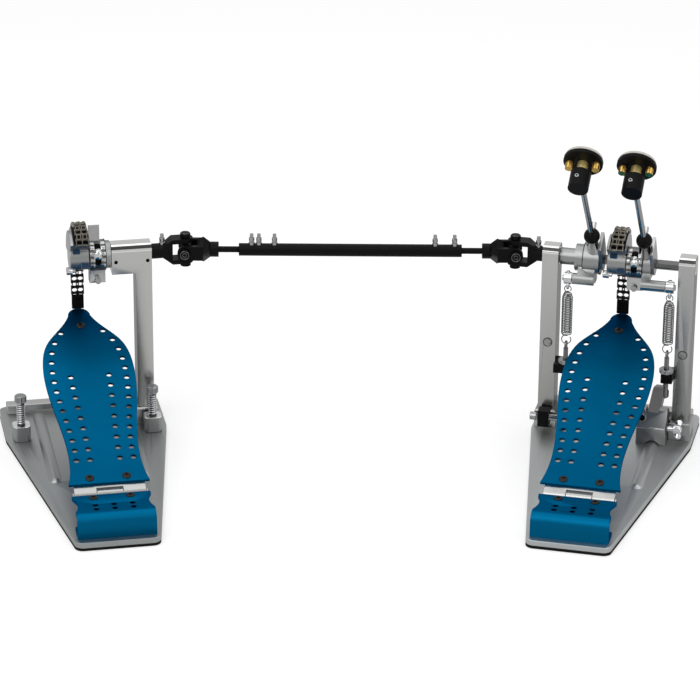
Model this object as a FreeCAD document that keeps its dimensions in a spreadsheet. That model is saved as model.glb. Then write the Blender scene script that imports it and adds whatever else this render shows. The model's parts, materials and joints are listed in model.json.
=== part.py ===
"""Double pedal for a bass drum: a main pedal, a second pedal and the shaft that joins them.

Each pedal has its own frame, with u to the right, v away from the player and w up. The frame starts on the
floor under the middle of the heel plate's front edge, and is turned about the vertical into the row.
"""
import FreeCAD, Part
import Sketcher
import math
import os
import re

from FreeCAD import Placement, Rotation, Vector

# Driving sizes in millimetres, angles in degrees, and counts.
SIZES = {
    # Where the two pedals stand.
    "main_heel_x": 223.2, "slave_heel_x": -233.8, "main_heel_y": -165.85,
    "main_yaw": 13.0, "slave_yaw": -11.0,
    # Base plate, the mat under it and the stiffening ribs on it.
    "mat_thickness": 3.0, "plate_thickness": 6.0, "base_front": 8.5, "base_past": 66.0,
    "base_heel_half": 43.0, "base_toe_half": 87.0, "flare_before": 10.0, "base_corner": 9.0,
    "rib_radius": 8.0, "rib_rise": 3.5, "rib_offset": 47.0, "rib_before": 138.0, "rib_past": 26.0,
    # Cross bar behind the posts.
    "bar_past": 36.0, "bar_depth": 14.0, "bar_height": 10.0, "bar_half": 80.0, "bar_gap": 3.0,
    "bar_foot": 18.0,
    # Posts, their feet and the axle's place.
    "post_offset": 73.0, "slave_post_offset": 66.5, "post_width": 17.5, "post_depth": 24.0,
    "post_rise": 12.5, "post_round": 7.0,
    "foot_grow": 3.0, "foot_ledge": 0.75, "foot_height": 20.0, "toe_past": 38.97, "axle_height": 204.5,
    "post_screw_radius": 4.2, "post_screw_height": 108.0, "post_screw_proud": 0.8,
    "block_reach": 43.0, "block_height": 32.0, "block_screw_radius": 2.0, "block_screw_depth": 3.0,
    "block_screw_edge": 4.5, "block_screw_drop": 18.0,
    # Bearings and running fits.
    "bearing_wall": 3.0, "running_gap": 0.05, "seat_gap": 0.03, "part_gap": 0.8,
    # Heel plate.
    "heel_half": 40.5, "heel_top": 34.0, "heel_depth": 50.0, "heel_wall": 4.0, "heel_lip_round": 10.0,
    "heel_foot_depth": 22.0, "heel_scallop_depth": 4.0, "heel_scallop_radius": 34.0, "heel_scallop_v": 30.0,
    "heel_hole_radius": 3.0, "heel_hole_pitch": 19.0, "heel_hole_row": 9.0, "heel_hole_start": 17.0,
    "heel_leg_width": 12.0, "heel_leg_depth": 9.0, "heel_leg_offset": 24.0,
    # Hinge between the heel plate and the footboard.
    "hinge_v": 57.0, "hinge_w": 30.5, "hinge_pin_radius": 2.2, "hinge_knuckle_radius": 4.6,
    "hinge_half": 37.0, "hinge_middle_half": 13.5, "hinge_leaf": 2.4, "hinge_leaf_reach": 16.0,
    "hinge_cap": 1.6, "hinge_cap_radius": 3.3, "screw_offset": 19.0, "screw_head_radius": 4.2,
    "screw_head_height": 1.2, "heel_screw_inset": 7.0,
    # Footboard, in its own plane from the hinge line.
    "board_angle": 19.2, "board_start": 9.0, "board_length": 277.4, "board_thickness": 3.0,
    "board_lift": 4.6, "board_heel_half": 42.0, "board_wide_half": 48.0, "board_waist_half": 37.5,
    "board_toe_half": 12.0, "board_hole_radius": 3.1, "board_screw_inset": 17.0, "board_toe_screw": 28.0,
    # Chain, its wheel and the strap to the toe.
    "chain_pitch": 6.35, "sprocket_teeth": 34, "chain_width": 14.0, "chain_half_height": 3.0,
    "chain_wrap_angle": 135.0, "sprocket_half": 9.0, "drum_gap": 0.3, "core_radius": 15.0,
    "flange_radius": 28.0, "flange_thickness": 3.0, "strap_length": 12.0, "strap_thickness": 2.4,
    "strap_width": 13.0,
    # Axle, hubs and rockers, along the axle from the chain wheel.
    "axle_radius": 5.0, "axle_hex_radius": 5.6, "hub_radius": 16.5, "hub_length": 17.0,
    "hub_slot_width": 5.0, "hub_slot_height": 22.0, "hub_slot_depth": 5.0, "hub_slot_turn": 24.0,
    "hub_bolt_radius": 4.8, "hub_bolt_height": 4.0, "casting_radius": 15.0, "casting_length": 9.0,
    "cheek_half": 12.0, "cheek_reach": 33.0, "cheek_thickness": 3.5, "lug_width": 11.0, "lug_reach": 30.0,
    "lug_bolt_radius": 3.2, "lug_bolt_length": 12.0, "tab_width": 12.0, "tab_height": 34.0,
    "tab_thickness": 2.0,
    "rocker_radius": 25.0, "rocker_angle": 45.0, "boss_radius": 6.0, "rocker_pin_radius": 3.0,
    "main_spring_u": 57.0, "slave_spring_u": -52.0, "rocker_pin_end": 6.0,
    "sleeve_radius": 9.0, "journal_radius": 6.5, "collar_radius": 14.5, "collar_length": 9.0,
    "slave_hub_radius": 16.5, "slave_hub_length": 18.0, "slave_hub_end": -16.5, "spigot_end": -60.0,
    # Beaters, along and across the beater shaft.
    "beater_lean": 33.0, "beater_tilt": 3.0, "main_beater_u": 28.2, "slave_beater_u": -27.5,
    "socket_reach": 41.2,
    "socket_radius": 8.6, "socket_neck_radius": 6.5, "beater_radius": 3.1, "beater_reach": 145.0,
    "beater_tail": 30.0, "beater_body_radius": 10.8, "beater_body_back": 16.0, "beater_body_front": 4.6,
    "beater_neck_radius": 5.6, "beater_neck_length": 12.6, "beater_disc_radius": 20.7,
    "beater_disc_thickness": 4.0, "beater_felt_radius": 19.8, "beater_felt_thickness": 5.5,
    "beater_weight_radius": 4.0, "beater_weight_length": 8.0, "beater_weight_offset": 14.0,
    "key_screw_radius": 2.6, "key_screw_length": 17.0,
    # Return springs and what holds them.
    "swivel_outer": 6.4, "swivel_width": 8.0, "swivel_eye_drop": 8.2, "swivel_eye_radius": 3.0,
    "swivel_eye_wire": 1.5,
    "spring_radius": 5.4, "spring_wire_radius": 0.65, "spring_stand": 154.5, "spring_pitch": 2.0,
    "spring_neck_radius": 3.2, "spring_neck_turns": 3, "spring_hook_radius": 3.6,
    "spring_loop_radius": 5.0, "hook_gap": 0.3, "eye_radius": 3.4, "eye_wire_radius": 1.3,
    "eyebolt_radius": 2.6, "shank_show": 12.9, "shank_below": 18.0, "knob_radius": 7.2, "knob_height": 5.0,
    "knob_gap": 0.4, "bracket_height": 10.0, "bracket_front": 6.0, "bracket_past": 5.0,
    # Universal joints and the telescopic shaft.
    "joint_offset": 113.0, "yoke_start": 82.4, "yoke_boss_radius": 8.2, "yoke_boss_length": 11.0,
    "yoke_half": 14.0, "ear_thickness": 5.0, "ear_half": 7.9, "cross_block": 12.0,
    "cross_pin_radius": 3.0, "cross_head_radius": 5.6, "cross_head_height": 3.5, "pivot_gap": 0.45,
    "yoke_web": 5.0, "shaft_yoke_back": 13.0, "shaft_yoke_web": 14.0, "shaft_yoke_web_radius": 14.5,
    "shaft_yoke_boss": 8.5, "rod_radius": 3.3, "tube_radius": 6.8,
    "tube_half": 119.0, "rod_overlap": 60.0, "key_bolt_radius": 3.0, "key_bolt_height": 12.0,
    # Spurs of the second pedal.
    "spur_edge": 16.0, "spur_before": 28.0, "spur_radius": 4.0, "spur_head_radius": 6.0,
    "spur_head_height": 8.0, "spur_top": 60.0, "spur_lug_height": 17.0, "spur_lug_half": 9.5,
    "spur_foot_gap": 1.2,
    # Hoop clamp of the main pedal.
    "clamp_u": 45.0, "clamp_half": 16.0, "clamp_before": 32.0, "clamp_depth": 28.0, "clamp_top": 46.0,
    "clamp_slope": 9.0, "clamp_arch_gap": 1.0, "clamp_slot_half": 7.0, "jaw_half": 6.4,
    "jaw_pivot_in": 15.0, "jaw_pivot_w": 33.0, "jaw_pin_radius": 3.0, "jaw_eye_radius": 6.0,
    "jaw_knee_before": 22.0, "jaw_knee_w": 51.0, "jaw_nose_w": 40.0, "jaw_bar": 9.0,
    "pad_radius": 8.0, "pad_height": 7.0, "wing_in": 6.0, "wing_w": 27.0, "wing_shank_radius": 3.0,
    "wing_hub_radius": 5.5, "wing_hub_length": 8.0, "wing_reach": 10.0, "wing_round": 4.0,
    "wing_thickness": 4.0, "wing_shank_length": 8.0, "wing_thread": 6.0, "wing_tilt": 35.0,
    # Drum key in its clip.
    "key_w": 24.0, "key_radius": 3.6, "key_half": 15.0, "key_socket_radius": 4.4,
    "key_socket_length": 7.0, "clip_width": 12.0, "clip_depth": 13.0, "clip_height": 18.0,
    # Overrun of every cut past the face that it leaves.
    "overrun": 4.0,
}

# Sizes that follow from the driving ones.
DERIVED = {
    "axle_v": "hinge_v + board_length * cos(board_angle * 1 deg) - toe_past",
    "base_length": "axle_v + base_past",
    "base_flare_length": "axle_v - flare_before",
    "rib_start": "axle_v - rib_before",
    "rib_end": "axle_v + rib_past",
    "bar_front": "axle_v + bar_past",
    "post_top": "axle_height + post_rise",
    "base_top": "mat_thickness + plate_thickness",
    "post_front": "axle_v - post_depth / 2",
    "chain_radius": "chain_pitch / (2 * sin(180 deg / sprocket_teeth))",
    "drum_radius": "chain_radius - chain_half_height - drum_gap",
    "hub_start": "sprocket_half",
    "casting_start": "hub_start + hub_length",
    "cheek_start": "casting_start + casting_length",
    "sleeve_bore": "axle_radius + running_gap",
    "rocker_v": "-rocker_radius * cos(rocker_angle * 1 deg)",
    "rocker_w": "-rocker_radius * sin(rocker_angle * 1 deg)",
    "post_inner": "post_offset - post_width / 2",
    "collar_start": "slave_hub_end - cheek_thickness - slave_hub_length - collar_length",
    "spring_turns": "round((axle_height - spring_stand) / spring_pitch)",
    "hook_middle": "swivel_eye_wire + spring_wire_radius + hook_gap - swivel_eye_drop - swivel_eye_radius"
                   " - spring_hook_radius",
    "coil_top": "hook_middle - spring_hook_radius",
    "coil_bottom": "coil_top - spring_turns * spring_pitch",
    "loop_bottom": "coil_bottom - 2 * spring_loop_radius",
    "eye_middle": "loop_bottom + spring_wire_radius + hook_gap + eye_wire_radius - eye_radius",
    "pin_v": "axle_v + rocker_v",
    "pin_w": "axle_height + rocker_w",
    "toe_w": "hinge_w - axle_height + board_length * sin(board_angle * 1 deg)",
    "strap_end": "toe_w + (board_lift + board_thickness) * cos(board_angle * 1 deg) + part_gap",
    "chain_end": "-(strap_end) - strap_length",
    "bracket_top": "pin_w + eye_middle - eye_radius - shank_show - knob_height - knob_gap",
    "eyebolt_bottom": "bracket_top - bracket_height - shank_below",
    "yoke_ear_start": "yoke_start + yoke_boss_length + yoke_web",
    "slave_yoke_start": "slave_post_offset + post_width / 2 + part_gap",
    "block_start": "slave_post_offset + post_width / 2 - block_reach",
    "disc_start": "beater_body_front + beater_neck_length",
    "spur_offset": "base_toe_half - spur_edge",
    "spur_v": "axle_v - spur_before",
    "clamp_front": "axle_v - clamp_before",
    "jaw_pivot_v": "clamp_front + jaw_pivot_in",
    "jaw_nose_v": "bar_front + bar_depth / 2",
    "jaw_knee_v": "jaw_nose_v - jaw_knee_before",
    "wing_v": "clamp_front + wing_in",
}

ALONG_U = Rotation(Vector(0, 1, 0), 90)
ALONG_V = Rotation(Vector(1, 0, 0), -90)
UPRIGHT = Rotation()

# Half widths of the footboard along its length, as shares of the named half widths.
WAIST_PLACE_SHARE = 0.22
WIDE_PLACE_SHARE = 0.66
SHOULDER_PLACE_SHARES = (0.80, 0.90)
SHOULDER_WIDTH_SHARES = (0.82, 0.42)
# Places of the footboard's holes along it, and across it from the edge.
OUTER_HOLE_COUNT = 14
INNER_HOLE_COUNT = 9
OUTER_HOLE_SPAN_SHARES = (0.13, 0.86)
INNER_HOLE_SPAN_SHARES = (0.13, 0.60)
OUTER_HOLE_WIDTH_SHARE = 0.80
INNER_HOLE_WIDTH_SHARE = 0.42

# Places of the key bolts along the shaft's tube, from its middle.
KEY_BOLT_PLACE_SHARES = (-0.885, -0.82, -0.68, 0.76, 0.935)
# Turn of the spring's end loops, as a share of a full circle.
LOOP_TURN_SHARE = 0.8
# Step along the coil for its tangents, as a share of a turn.
TANGENT_STEP_SHARE = 0.0025
# Width of a yoke where it leaves its boss, as a share of the boss.
YOKE_NECK_SHARE = 0.8
# Stations along the web of a shaft's yoke, and its corners there, as shares of its length and radius.
SHAFT_WEB_PLACE_SHARES = (0.0, 0.46, 1.0)
SHAFT_WEB_WIDTH_SHARES = (0.8, 1.0, 0.58)
# Depth of the jaw under its knee, as a share of its bar.
JAW_KNEE_SHARE = 1.2
# Shares below which a length or a volume counts as nothing.
NOTHING_SHARE = 1e-9

doc = FreeCAD.newDocument("DoublePedal")
nodes = {}


def make_sheet():
    """Write every driving size into the sheet under its own name."""
    table = doc.addObject("Spreadsheet::Sheet", "Sizes")
    for row, (name, amount) in enumerate(SIZES.items(), start=1):
        table.set("A%d" % row, name)
        table.set("B%d" % row, str(amount))
        table.setAlias("B%d" % row, name)
    doc.recompute()
    return table


sheet = make_sheet()


def formula(text):
    """Turn a formula in size names into an expression on the sheet."""
    def swap(match):
        word = match.group(0)
        if word in DERIVED:
            return "(" + formula(DERIVED[word]) + ")"
        if word in SIZES:
            return "Sizes." + word
        return word
    return re.sub(r"[A-Za-z_]\w*", swap, text)


def number(text):
    """Return what a formula in size names amounts to."""
    found = sheet.evalExpression(formula(text))
    return float(getattr(found, "Value", found))


def bind(item, **formulas):
    """Bind properties of an object to formulas."""
    for name, text in formulas.items():
        item.setExpression(name, formula(text))
    return item


def put(item, at, rotation=UPRIGHT):
    """Turn an object and bind its place to three formulas."""
    item.Placement = Placement(Vector(), rotation)
    for axis, text in zip("xyz", at):
        item.setExpression("Placement.Base." + axis, formula(text))
    return item


def cylinder(radius, length, at=("0", "0", "0"), rotation=UPRIGHT):
    """Make a cylinder that starts at a place and runs along its turned axis."""
    item = bind(doc.addObject("Part::Cylinder", "Round"), Radius=radius, Height=length)
    return put(item, at, rotation)


def bar_u(radius, start, end, v="0", w="0"):
    """Make a round bar along u between two stations."""
    return cylinder(radius, "(%s) - (%s)" % (end, start), (start, v, w), ALONG_U)


def tube_u(radius, bore, start, end, v="0", w="0"):
    """Make a round tube along u between two stations."""
    inner = bar_u(bore, "(%s) - overrun" % start, "(%s) + overrun" % end, v, w)
    return cut(bar_u(radius, start, end, v, w), inner)


def block(low, high):
    """Make a box between its low and high corners."""
    item = doc.addObject("Part::Box", "Block")
    bind(item, Length="(%s) - (%s)" % (high[0], low[0]), Width="(%s) - (%s)" % (high[1], low[1]),
         Height="(%s) - (%s)" % (high[2], low[2]))
    return put(item, low)


def sphere(radius, at):
    """Make a ball."""
    return put(bind(doc.addObject("Part::Sphere", "Ball"), Radius=radius), at)


def prism(corners, radius, start, end, v="0", w="0"):
    """Make a prism with equal sides along u."""
    item = doc.addObject("Part::Prism", "Prism")
    item.Polygon = corners
    bind(item, Circumradius=radius, Height="(%s) - (%s)" % (end, start))
    return put(item, (start, v, w), ALONG_U)


def ring(radius, wire, at, rotation=UPRIGHT):
    """Make a closed round ring."""
    item = bind(doc.addObject("Part::Torus", "Ring"), Radius1=radius, Radius2=wire)
    return put(item, at, rotation)


def fuse(*items):
    """Join objects into one."""
    joined = doc.addObject("Part::MultiFuse", "Joined")
    joined.Shapes = list(items)
    joined.Refine = True
    return joined


def cut(base, *tools):
    """Cut objects out of another."""
    item = base
    for tool in tools:
        step = doc.addObject("Part::Cut", "Cut")
        step.Base = item
        step.Tool = tool
        item = step
    return item


def common(base, tool):
    """Keep what two objects share."""
    item = doc.addObject("Part::Common", "Shared")
    item.Base = base
    item.Tool = tool
    return item


def group(*items):
    """Keep several solids together in one node."""
    item = doc.addObject("Part::Compound", "Group")
    item.Links = list(items)
    return item


def round_edges(base, radius, chosen):
    """Round the edges of an object that a test picks."""
    doc.recompute()
    size = number(radius)
    picked = [i for i, edge in enumerate(base.Shape.Edges, start=1) if chosen(edge)]
    item = doc.addObject("Part::Fillet", "Rounded")
    item.Base = base
    item.Edges = [(i, size, size) for i in picked]
    return item


def along(edge, axis):
    """Say whether an edge is straight and runs along an axis."""
    if not isinstance(edge.Curve, Part.Line):
        return False
    return abs(edge.Curve.Direction.dot(axis)) > math.cos(math.radians(1))


def node(name, item, place):
    """Give a sub-part its name and its place in the row."""
    if item.isDerivedFrom("PartDesign::Body") or item.TypeId in ("Part::Compound", "Part::Feature"):
        holder = item
    else:
        holder = group(item)
    holder.Label = name
    holder.Placement = place
    nodes[name] = holder


def make_shape(shape):
    """Hold a shape that is worked out in code."""
    item = doc.addObject("Part::Feature", "Formed")
    item.Shape = shape
    return item


def outline_sketch(body, plane, points, name, lift):
    """Draw a closed outline, lifted off its plane, whose corners are bound to formulas."""
    sketch = body.newObject("Sketcher::SketchObject", name)
    origin = [item for item in body.Origin.OriginFeatures if item.Role == plane][0]
    sketch.AttachmentSupport = [(origin, "")]
    sketch.MapMode = "FlatFace"
    sketch.setExpression("AttachmentOffset.Base.z", formula(lift))
    places = [Vector(number(x), number(y), 0) for x, y in points]
    for i, place in enumerate(places):
        sketch.addGeometry(Part.LineSegment(place, places[(i + 1) % len(places)]), False)
    for i in range(len(points)):
        sketch.addConstraint(Sketcher.Constraint("Coincident", i, 2, (i + 1) % len(points), 1))
    for i, (x, y) in enumerate(points):
        for kind, text, amount in (("DistanceX", x, places[i].x), ("DistanceY", y, places[i].y)):
            where = sketch.addConstraint(Sketcher.Constraint(kind, -1, 1, i, 1, amount))
            sketch.setExpression("Constraints[%d]" % where, formula(text))
    return sketch


def padded_outline(name, plane, points, length, middle=False, lift="0"):
    """Make a body by padding an outline."""
    body = doc.addObject("PartDesign::Body", name)
    sketch = outline_sketch(body, plane, points, name + "Outline", lift)
    pad = body.newObject("PartDesign::Pad", name + "Pad")
    pad.Profile = sketch
    pad.Midplane = middle
    bind(pad, Length=length)
    doc.recompute()
    return body


def round_body(body, radius, chosen):
    """Round the edges of a body's last feature that a test picks."""
    doc.recompute()
    tip = body.Tip
    picked = ["Edge%d" % i for i, edge in enumerate(tip.Shape.Edges, start=1) if chosen(edge)]
    fillet = body.newObject("PartDesign::Fillet", body.Name + "Round")
    fillet.Base = (tip, picked)
    bind(fillet, Radius=radius)
    doc.recompute()
    return body


def pedal_place(side):
    """Return where a pedal's own frame lies in the row."""
    yaw = number(side + "_yaw")
    turn = Rotation(Vector(0, 0, 1), -yaw)
    across = turn.multVec(Vector(joint_u(side), number("axle_v"), 0))
    main_turn = Rotation(Vector(0, 0, 1), -number("main_yaw"))
    level = main_turn.multVec(Vector(joint_u("main"), number("axle_v"), 0)).y + number("main_heel_y")
    return Placement(Vector(number(side + "_heel_x"), level - across.y, 0), turn)


def joint_u(side):
    """Return the station of a pedal's universal joint along its axle."""
    return number("joint_offset") * (1 if side == "slave" else -1)


def axle_place(side):
    """Return the frame at the middle of a pedal's axle."""
    return pedal_place(side) * Placement(Vector(0, number("axle_v"), number("axle_height")), UPRIGHT)


def beater_place(side):
    """Return the frame of a beater, with its third axis up the beater's shaft."""
    lean = Placement(Vector(), Rotation(Vector(1, 0, 0), number("beater_lean")))
    return axle_place("main") * Placement(Vector(number(side + "_beater_u"), 0, 0), UPRIGHT) * lean


def tilted_place(side):
    """Return a beater's frame turned to the left about the ball of its socket."""
    ball = Vector(0, 0, number("socket_reach"))
    turn = Rotation(Vector(0, 1, 0), -number("beater_tilt"))
    return beater_place(side) * Placement(ball, turn) * Placement(ball * -1, UPRIGHT)


def board_place(side):
    """Return the frame of a footboard, from the hinge line along its plane."""
    tilt = Rotation(Vector(1, 0, 0), number("board_angle"))
    return pedal_place(side) * Placement(Vector(0, number("hinge_v"), number("hinge_w")), tilt)


def shaft_place():
    """Return the frame of the shaft, midway between its joints and along the row."""
    ends = [axle_place(side).multVec(Vector(joint_u(side), 0, 0)) for side in ("main", "slave")]
    return Placement((ends[0] + ends[1]) / 2, UPRIGHT)


def shaft_half():
    """Return half the distance between the universal joints."""
    ends = [axle_place(side).multVec(Vector(joint_u(side), 0, 0)) for side in ("main", "slave")]
    return (ends[0] - ends[1]).Length / 2


def base_outline(side, layer):
    """Return the flared outline of a base, drawn on the floor."""
    far = "base_length - base_front"
    turn = "base_flare_length - base_front"
    points = [("-base_heel_half", "-base_front"), ("base_heel_half", "-base_front"), ("base_toe_half", turn),
              ("base_toe_half", far), ("-base_toe_half", far), ("-base_toe_half", turn)]
    lift = "0" if layer == "mat" else "mat_thickness"
    body = padded_outline(side.title() + layer.title(), "XY_Plane", points, layer + "_thickness", lift=lift)
    return round_body(body, "base_corner", lambda edge: along(edge, Vector(0, 0, 1)))


def base_rib(sign):
    """Make one half-round rib that stands on the base."""
    u = "%s * rib_offset" % sign
    low = "base_top + rib_rise - rib_radius"
    run = cylinder("rib_radius", "rib_end - rib_start", (u, "rib_start", low), ALONG_V)
    ends = [sphere("rib_radius", (u, v, low)) for v in ("rib_start", "rib_end")]
    keep = block((u + " - rib_radius", "rib_start - rib_radius", "base_top - plate_thickness / 2"),
                 (u + " + rib_radius", "rib_end + rib_radius", "base_top + rib_rise"))
    return common(fuse(run, *ends), keep)


def make_base(side, place):
    """Make a base plate with its ribs, its mat and its cross bar."""
    mat = base_outline(side, "mat")
    plate = base_outline(side, "plate")
    ribs = [base_rib(sign) for sign in ("1", "-1")]
    holes = [[spur_bore(sign) for sign in ("1", "-1")] if side == "slave" else [] for layer in range(2)]
    node(side + "_base_mat", cut(mat, *holes[0]), place)
    node(side + "_base_plate", cut(fuse(plate, *ribs), *holes[1]), place)
    bar = block(("-bar_half", "bar_front", "base_top"),
                ("bar_half", "bar_front + bar_depth", "base_top + bar_height"))
    gap = block(("bar_foot - bar_half", "bar_front - overrun", "base_top - overrun"),
                ("bar_half - bar_foot", "bar_front + bar_depth + overrun", "base_top + bar_gap"))
    return cut(bar, gap)


def is_post_top(edge):
    """Say whether an edge runs across the top of a post."""
    return along(edge, Vector(1, 0, 0)) and edge.CenterOfMass.z > number("post_top - post_round / 2")


def post_foot(u):
    """Make the foot of a post, with its upper edges rounded."""
    half = "post_width / 2 + foot_grow"
    foot = block((u + " - (" + half + ")", "post_front - foot_grow", "base_top"),
                 (u + " + " + half, "post_front + post_depth + foot_grow", "base_top + foot_height"))
    return round_edges(foot, "foot_grow - foot_ledge",
                       lambda edge: edge.CenterOfMass.z > number("base_top + foot_height - foot_ledge"))


def post_solid(u, bore):
    """Make one post on its foot, with the axle's bearing bore."""
    half = "post_width / 2"
    shaft = block((u + " - " + half, "post_front", "base_top"),
                  (u + " + " + half, "post_front + post_depth", "post_top"))
    shaft = round_edges(shaft, "post_round", is_post_top)
    foot = post_foot(u)
    screw = cylinder("post_screw_radius", "post_screw_proud + overrun",
                     (u, "post_front - post_screw_proud", "post_screw_height"), ALONG_V)
    hole = bar_u(bore, u + " - post_width", u + " + post_width", "axle_v", "axle_height")
    return cut(fuse(shaft, foot, screw), hole)


def make_main_posts(place):
    """Make the two posts of the main pedal and the bearings in them."""
    left_bore = "journal_radius + running_gap + bearing_wall"
    right_bore = "axle_radius + running_gap + bearing_wall"
    node("main_post_left", post_solid("-post_offset", left_bore), place)
    node("main_post_right", post_solid("post_offset", right_bore), place)
    rings = []
    for u, shaft in (("-post_offset", "journal_radius"), ("post_offset", "axle_radius")):
        inner = shaft + " + running_gap"
        rings.append(tube_u(inner + " + bearing_wall - seat_gap", inner, u + " - post_width / 2",
                            u + " + post_width / 2", "axle_v", "axle_height"))
    node("main_post_bearings", group(*rings), place)


def make_slave_post(place):
    """Make the second pedal's single post with the bearing block at its head."""
    u = "slave_post_offset"
    bore = "axle_radius + running_gap + bearing_wall"
    left = u + " - post_width / 2"
    right = u + " + post_width / 2"
    under = "post_top - block_height"
    post = block((left, "post_front", "base_top"), (right, "post_front + post_depth", "post_top"))
    arm = block(("block_start", "post_front", under), (right, "post_front + post_depth", "post_top"))
    head = round_edges(fuse(post, arm), "post_round", is_post_top)
    foot = post_foot(u)
    hole = bar_u(bore, "0", u + " + post_width", "axle_v", "axle_height")
    start = "block_start"
    screws = []
    for place_u in (start + " + block_screw_edge", right + " - block_screw_edge"):
        screws.append(cylinder("block_screw_radius", "block_screw_depth + overrun",
                               (place_u, "post_front - overrun", "post_top - block_screw_drop"), ALONG_V))
    node("slave_post", cut(fuse(head, foot), hole, *screws), place)
    inner = "axle_radius + running_gap"
    bearing = tube_u(bore + " - seat_gap", inner, start, right, "axle_v", "axle_height")
    node("slave_post_bearing", bearing, place)


def make_heel_plate(side, place):
    """Make the heel plate, a bent plate with drawn-in sides, holes and legs to the base."""
    wall = "heel_wall"
    points = [("0", "base_top"), ("heel_foot_depth", "base_top"), ("heel_foot_depth", "base_top + " + wall),
              (wall, "base_top + " + wall), (wall, "heel_top - " + wall),
              ("heel_depth", "heel_top - " + wall), ("heel_depth", "heel_top"), ("0", "heel_top")]
    body = padded_outline(side.title() + "Heel", "YZ_Plane", points, "2 * heel_half", middle=True)
    body = round_body(body, "heel_lip_round", lambda edge: along(edge, Vector(1, 0, 0)) and
                      abs(edge.CenterOfMass.y) < number(wall) / 2 and
                      edge.CenterOfMass.z > number("heel_top - heel_wall / 2"))
    scallops = []
    for sign in ("1", "-1"):
        middle = "%s * (heel_half + heel_scallop_radius - heel_scallop_depth)" % sign
        at = (middle, "heel_scallop_v", "base_top + heel_wall")
        scallops.append(cylinder("heel_scallop_radius", "heel_top", at))
    holes = []
    for column in ("-1", "0", "1"):
        for row in ("0", "1"):
            at = (column + " * heel_hole_pitch", "heel_hole_start + %s * heel_hole_row" % row,
                  "heel_top - overrun - heel_wall")
            holes.append(cylinder("heel_hole_radius", "2 * overrun + heel_wall", at))
    legs = []
    for sign in ("1", "-1"):
        middle = "%s * heel_leg_offset" % sign
        back = "heel_depth - hinge_leaf_reach"
        legs.append(block((middle + " - heel_leg_width / 2", back + " - heel_leg_depth", "base_top"),
                          (middle + " + heel_leg_width / 2", back, "heel_top - heel_wall")))
    node(side + "_heel_plate", fuse(cut(body, *scallops, *holes), *legs), place)


def make_heel_hinge(side, place):
    """Make the hinge half on the heel plate: leaf, middle knuckle, pin with caps, and screws."""
    under = "heel_top - heel_wall"
    leaf = block(("-hinge_half", "heel_depth - hinge_leaf_reach", under + " - hinge_leaf"),
                 ("hinge_half", "hinge_v - hinge_knuckle_radius - part_gap", under))
    tongue = block(("-hinge_middle_half", "heel_depth", under + " - hinge_leaf"),
                   ("hinge_middle_half", "hinge_v", under))
    knuckle = bar_u("hinge_knuckle_radius", "-hinge_middle_half", "hinge_middle_half", "hinge_v", "hinge_w")
    pin = bar_u("hinge_pin_radius", "-hinge_half - hinge_cap", "hinge_half + hinge_cap", "hinge_v", "hinge_w")
    caps = []
    for start, end in (("-hinge_half - hinge_cap", "-hinge_half - part_gap / 2"),
                       ("hinge_half + part_gap / 2", "hinge_half + hinge_cap")):
        caps.append(bar_u("hinge_cap_radius", start, end, "hinge_v", "hinge_w"))
    screws = []
    for sign in ("1", "-1"):
        at = ("%s * screw_offset" % sign, "heel_depth - heel_screw_inset", "heel_top")
        screws.append(cylinder("screw_head_radius", "screw_head_height", at))
    node(side + "_heel_hinge", group(fuse(leaf, tongue, knuckle, pin, *caps), *screws), place)


def board_outline_half():
    """Return the right half of the footboard's outline from heel to toe."""
    start = number("board_start")
    run = number("board_length") - start
    points = [(number("board_heel_half"), 0.0), (number("board_waist_half"), WAIST_PLACE_SHARE),
              (number("board_wide_half"), WIDE_PLACE_SHARE)]
    for place, width in zip(SHOULDER_PLACE_SHARES, SHOULDER_WIDTH_SHARES):
        points.append((number("board_wide_half") * width, place))
    points.append((number("board_toe_half"), 1 - number("board_toe_half") / run))
    return [Vector(u, start + run * share, number("board_lift")) for u, share in points]


def board_side():
    """Return the smooth right edge of the footboard."""
    curve = Part.BSplineCurve()
    curve.interpolate(board_outline_half())
    return curve


def board_half_width(s):
    """Return the footboard's half width at a distance from the hinge line."""
    lift = number("board_lift")
    line = Part.Line(Vector(0, s, lift), Vector(1, s, lift))
    return board_side().intersectCC(line)[0].X


def board_hole_places():
    """Return the middle of every hole in the footboard."""
    start = number("board_start")
    run = number("board_length") - start
    places = []
    for count, span, width in ((OUTER_HOLE_COUNT, OUTER_HOLE_SPAN_SHARES, OUTER_HOLE_WIDTH_SHARE),
                               (INNER_HOLE_COUNT, INNER_HOLE_SPAN_SHARES, INNER_HOLE_WIDTH_SHARE)):
        for i in range(count):
            s = start + run * (span[0] + (span[1] - span[0]) * i / (count - 1))
            half = board_half_width(s) * width
            places += [Vector(half, s, number("board_lift")), Vector(-half, s, number("board_lift"))]
    return places


def make_footboard(side, place):
    """Make the pierced footboard plate from a smooth outline."""
    right = board_side()
    half = board_outline_half()
    other = [Vector(-place.x, place.y, place.z) for place in half]
    mirror = Part.BSplineCurve()
    mirror.interpolate(list(reversed(other)))
    toe = Part.Arc(half[-1], Vector(0, number("board_length"), half[-1].z), other[-1])
    heel = Part.LineSegment(other[0], half[0])
    wire = Part.Wire([right.toShape(), toe.toShape(), mirror.toShape(), heel.toShape()])
    plate = Part.Face(wire).extrude(Vector(0, 0, number("board_thickness")))
    drills = [Part.makeCylinder(number("board_hole_radius"), number("board_thickness + 2 * overrun"),
                                at - Vector(0, 0, number("overrun"))) for at in board_hole_places()]
    node(side + "_footboard", make_shape(plate.cut(Part.makeCompound(drills))), place)


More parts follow.
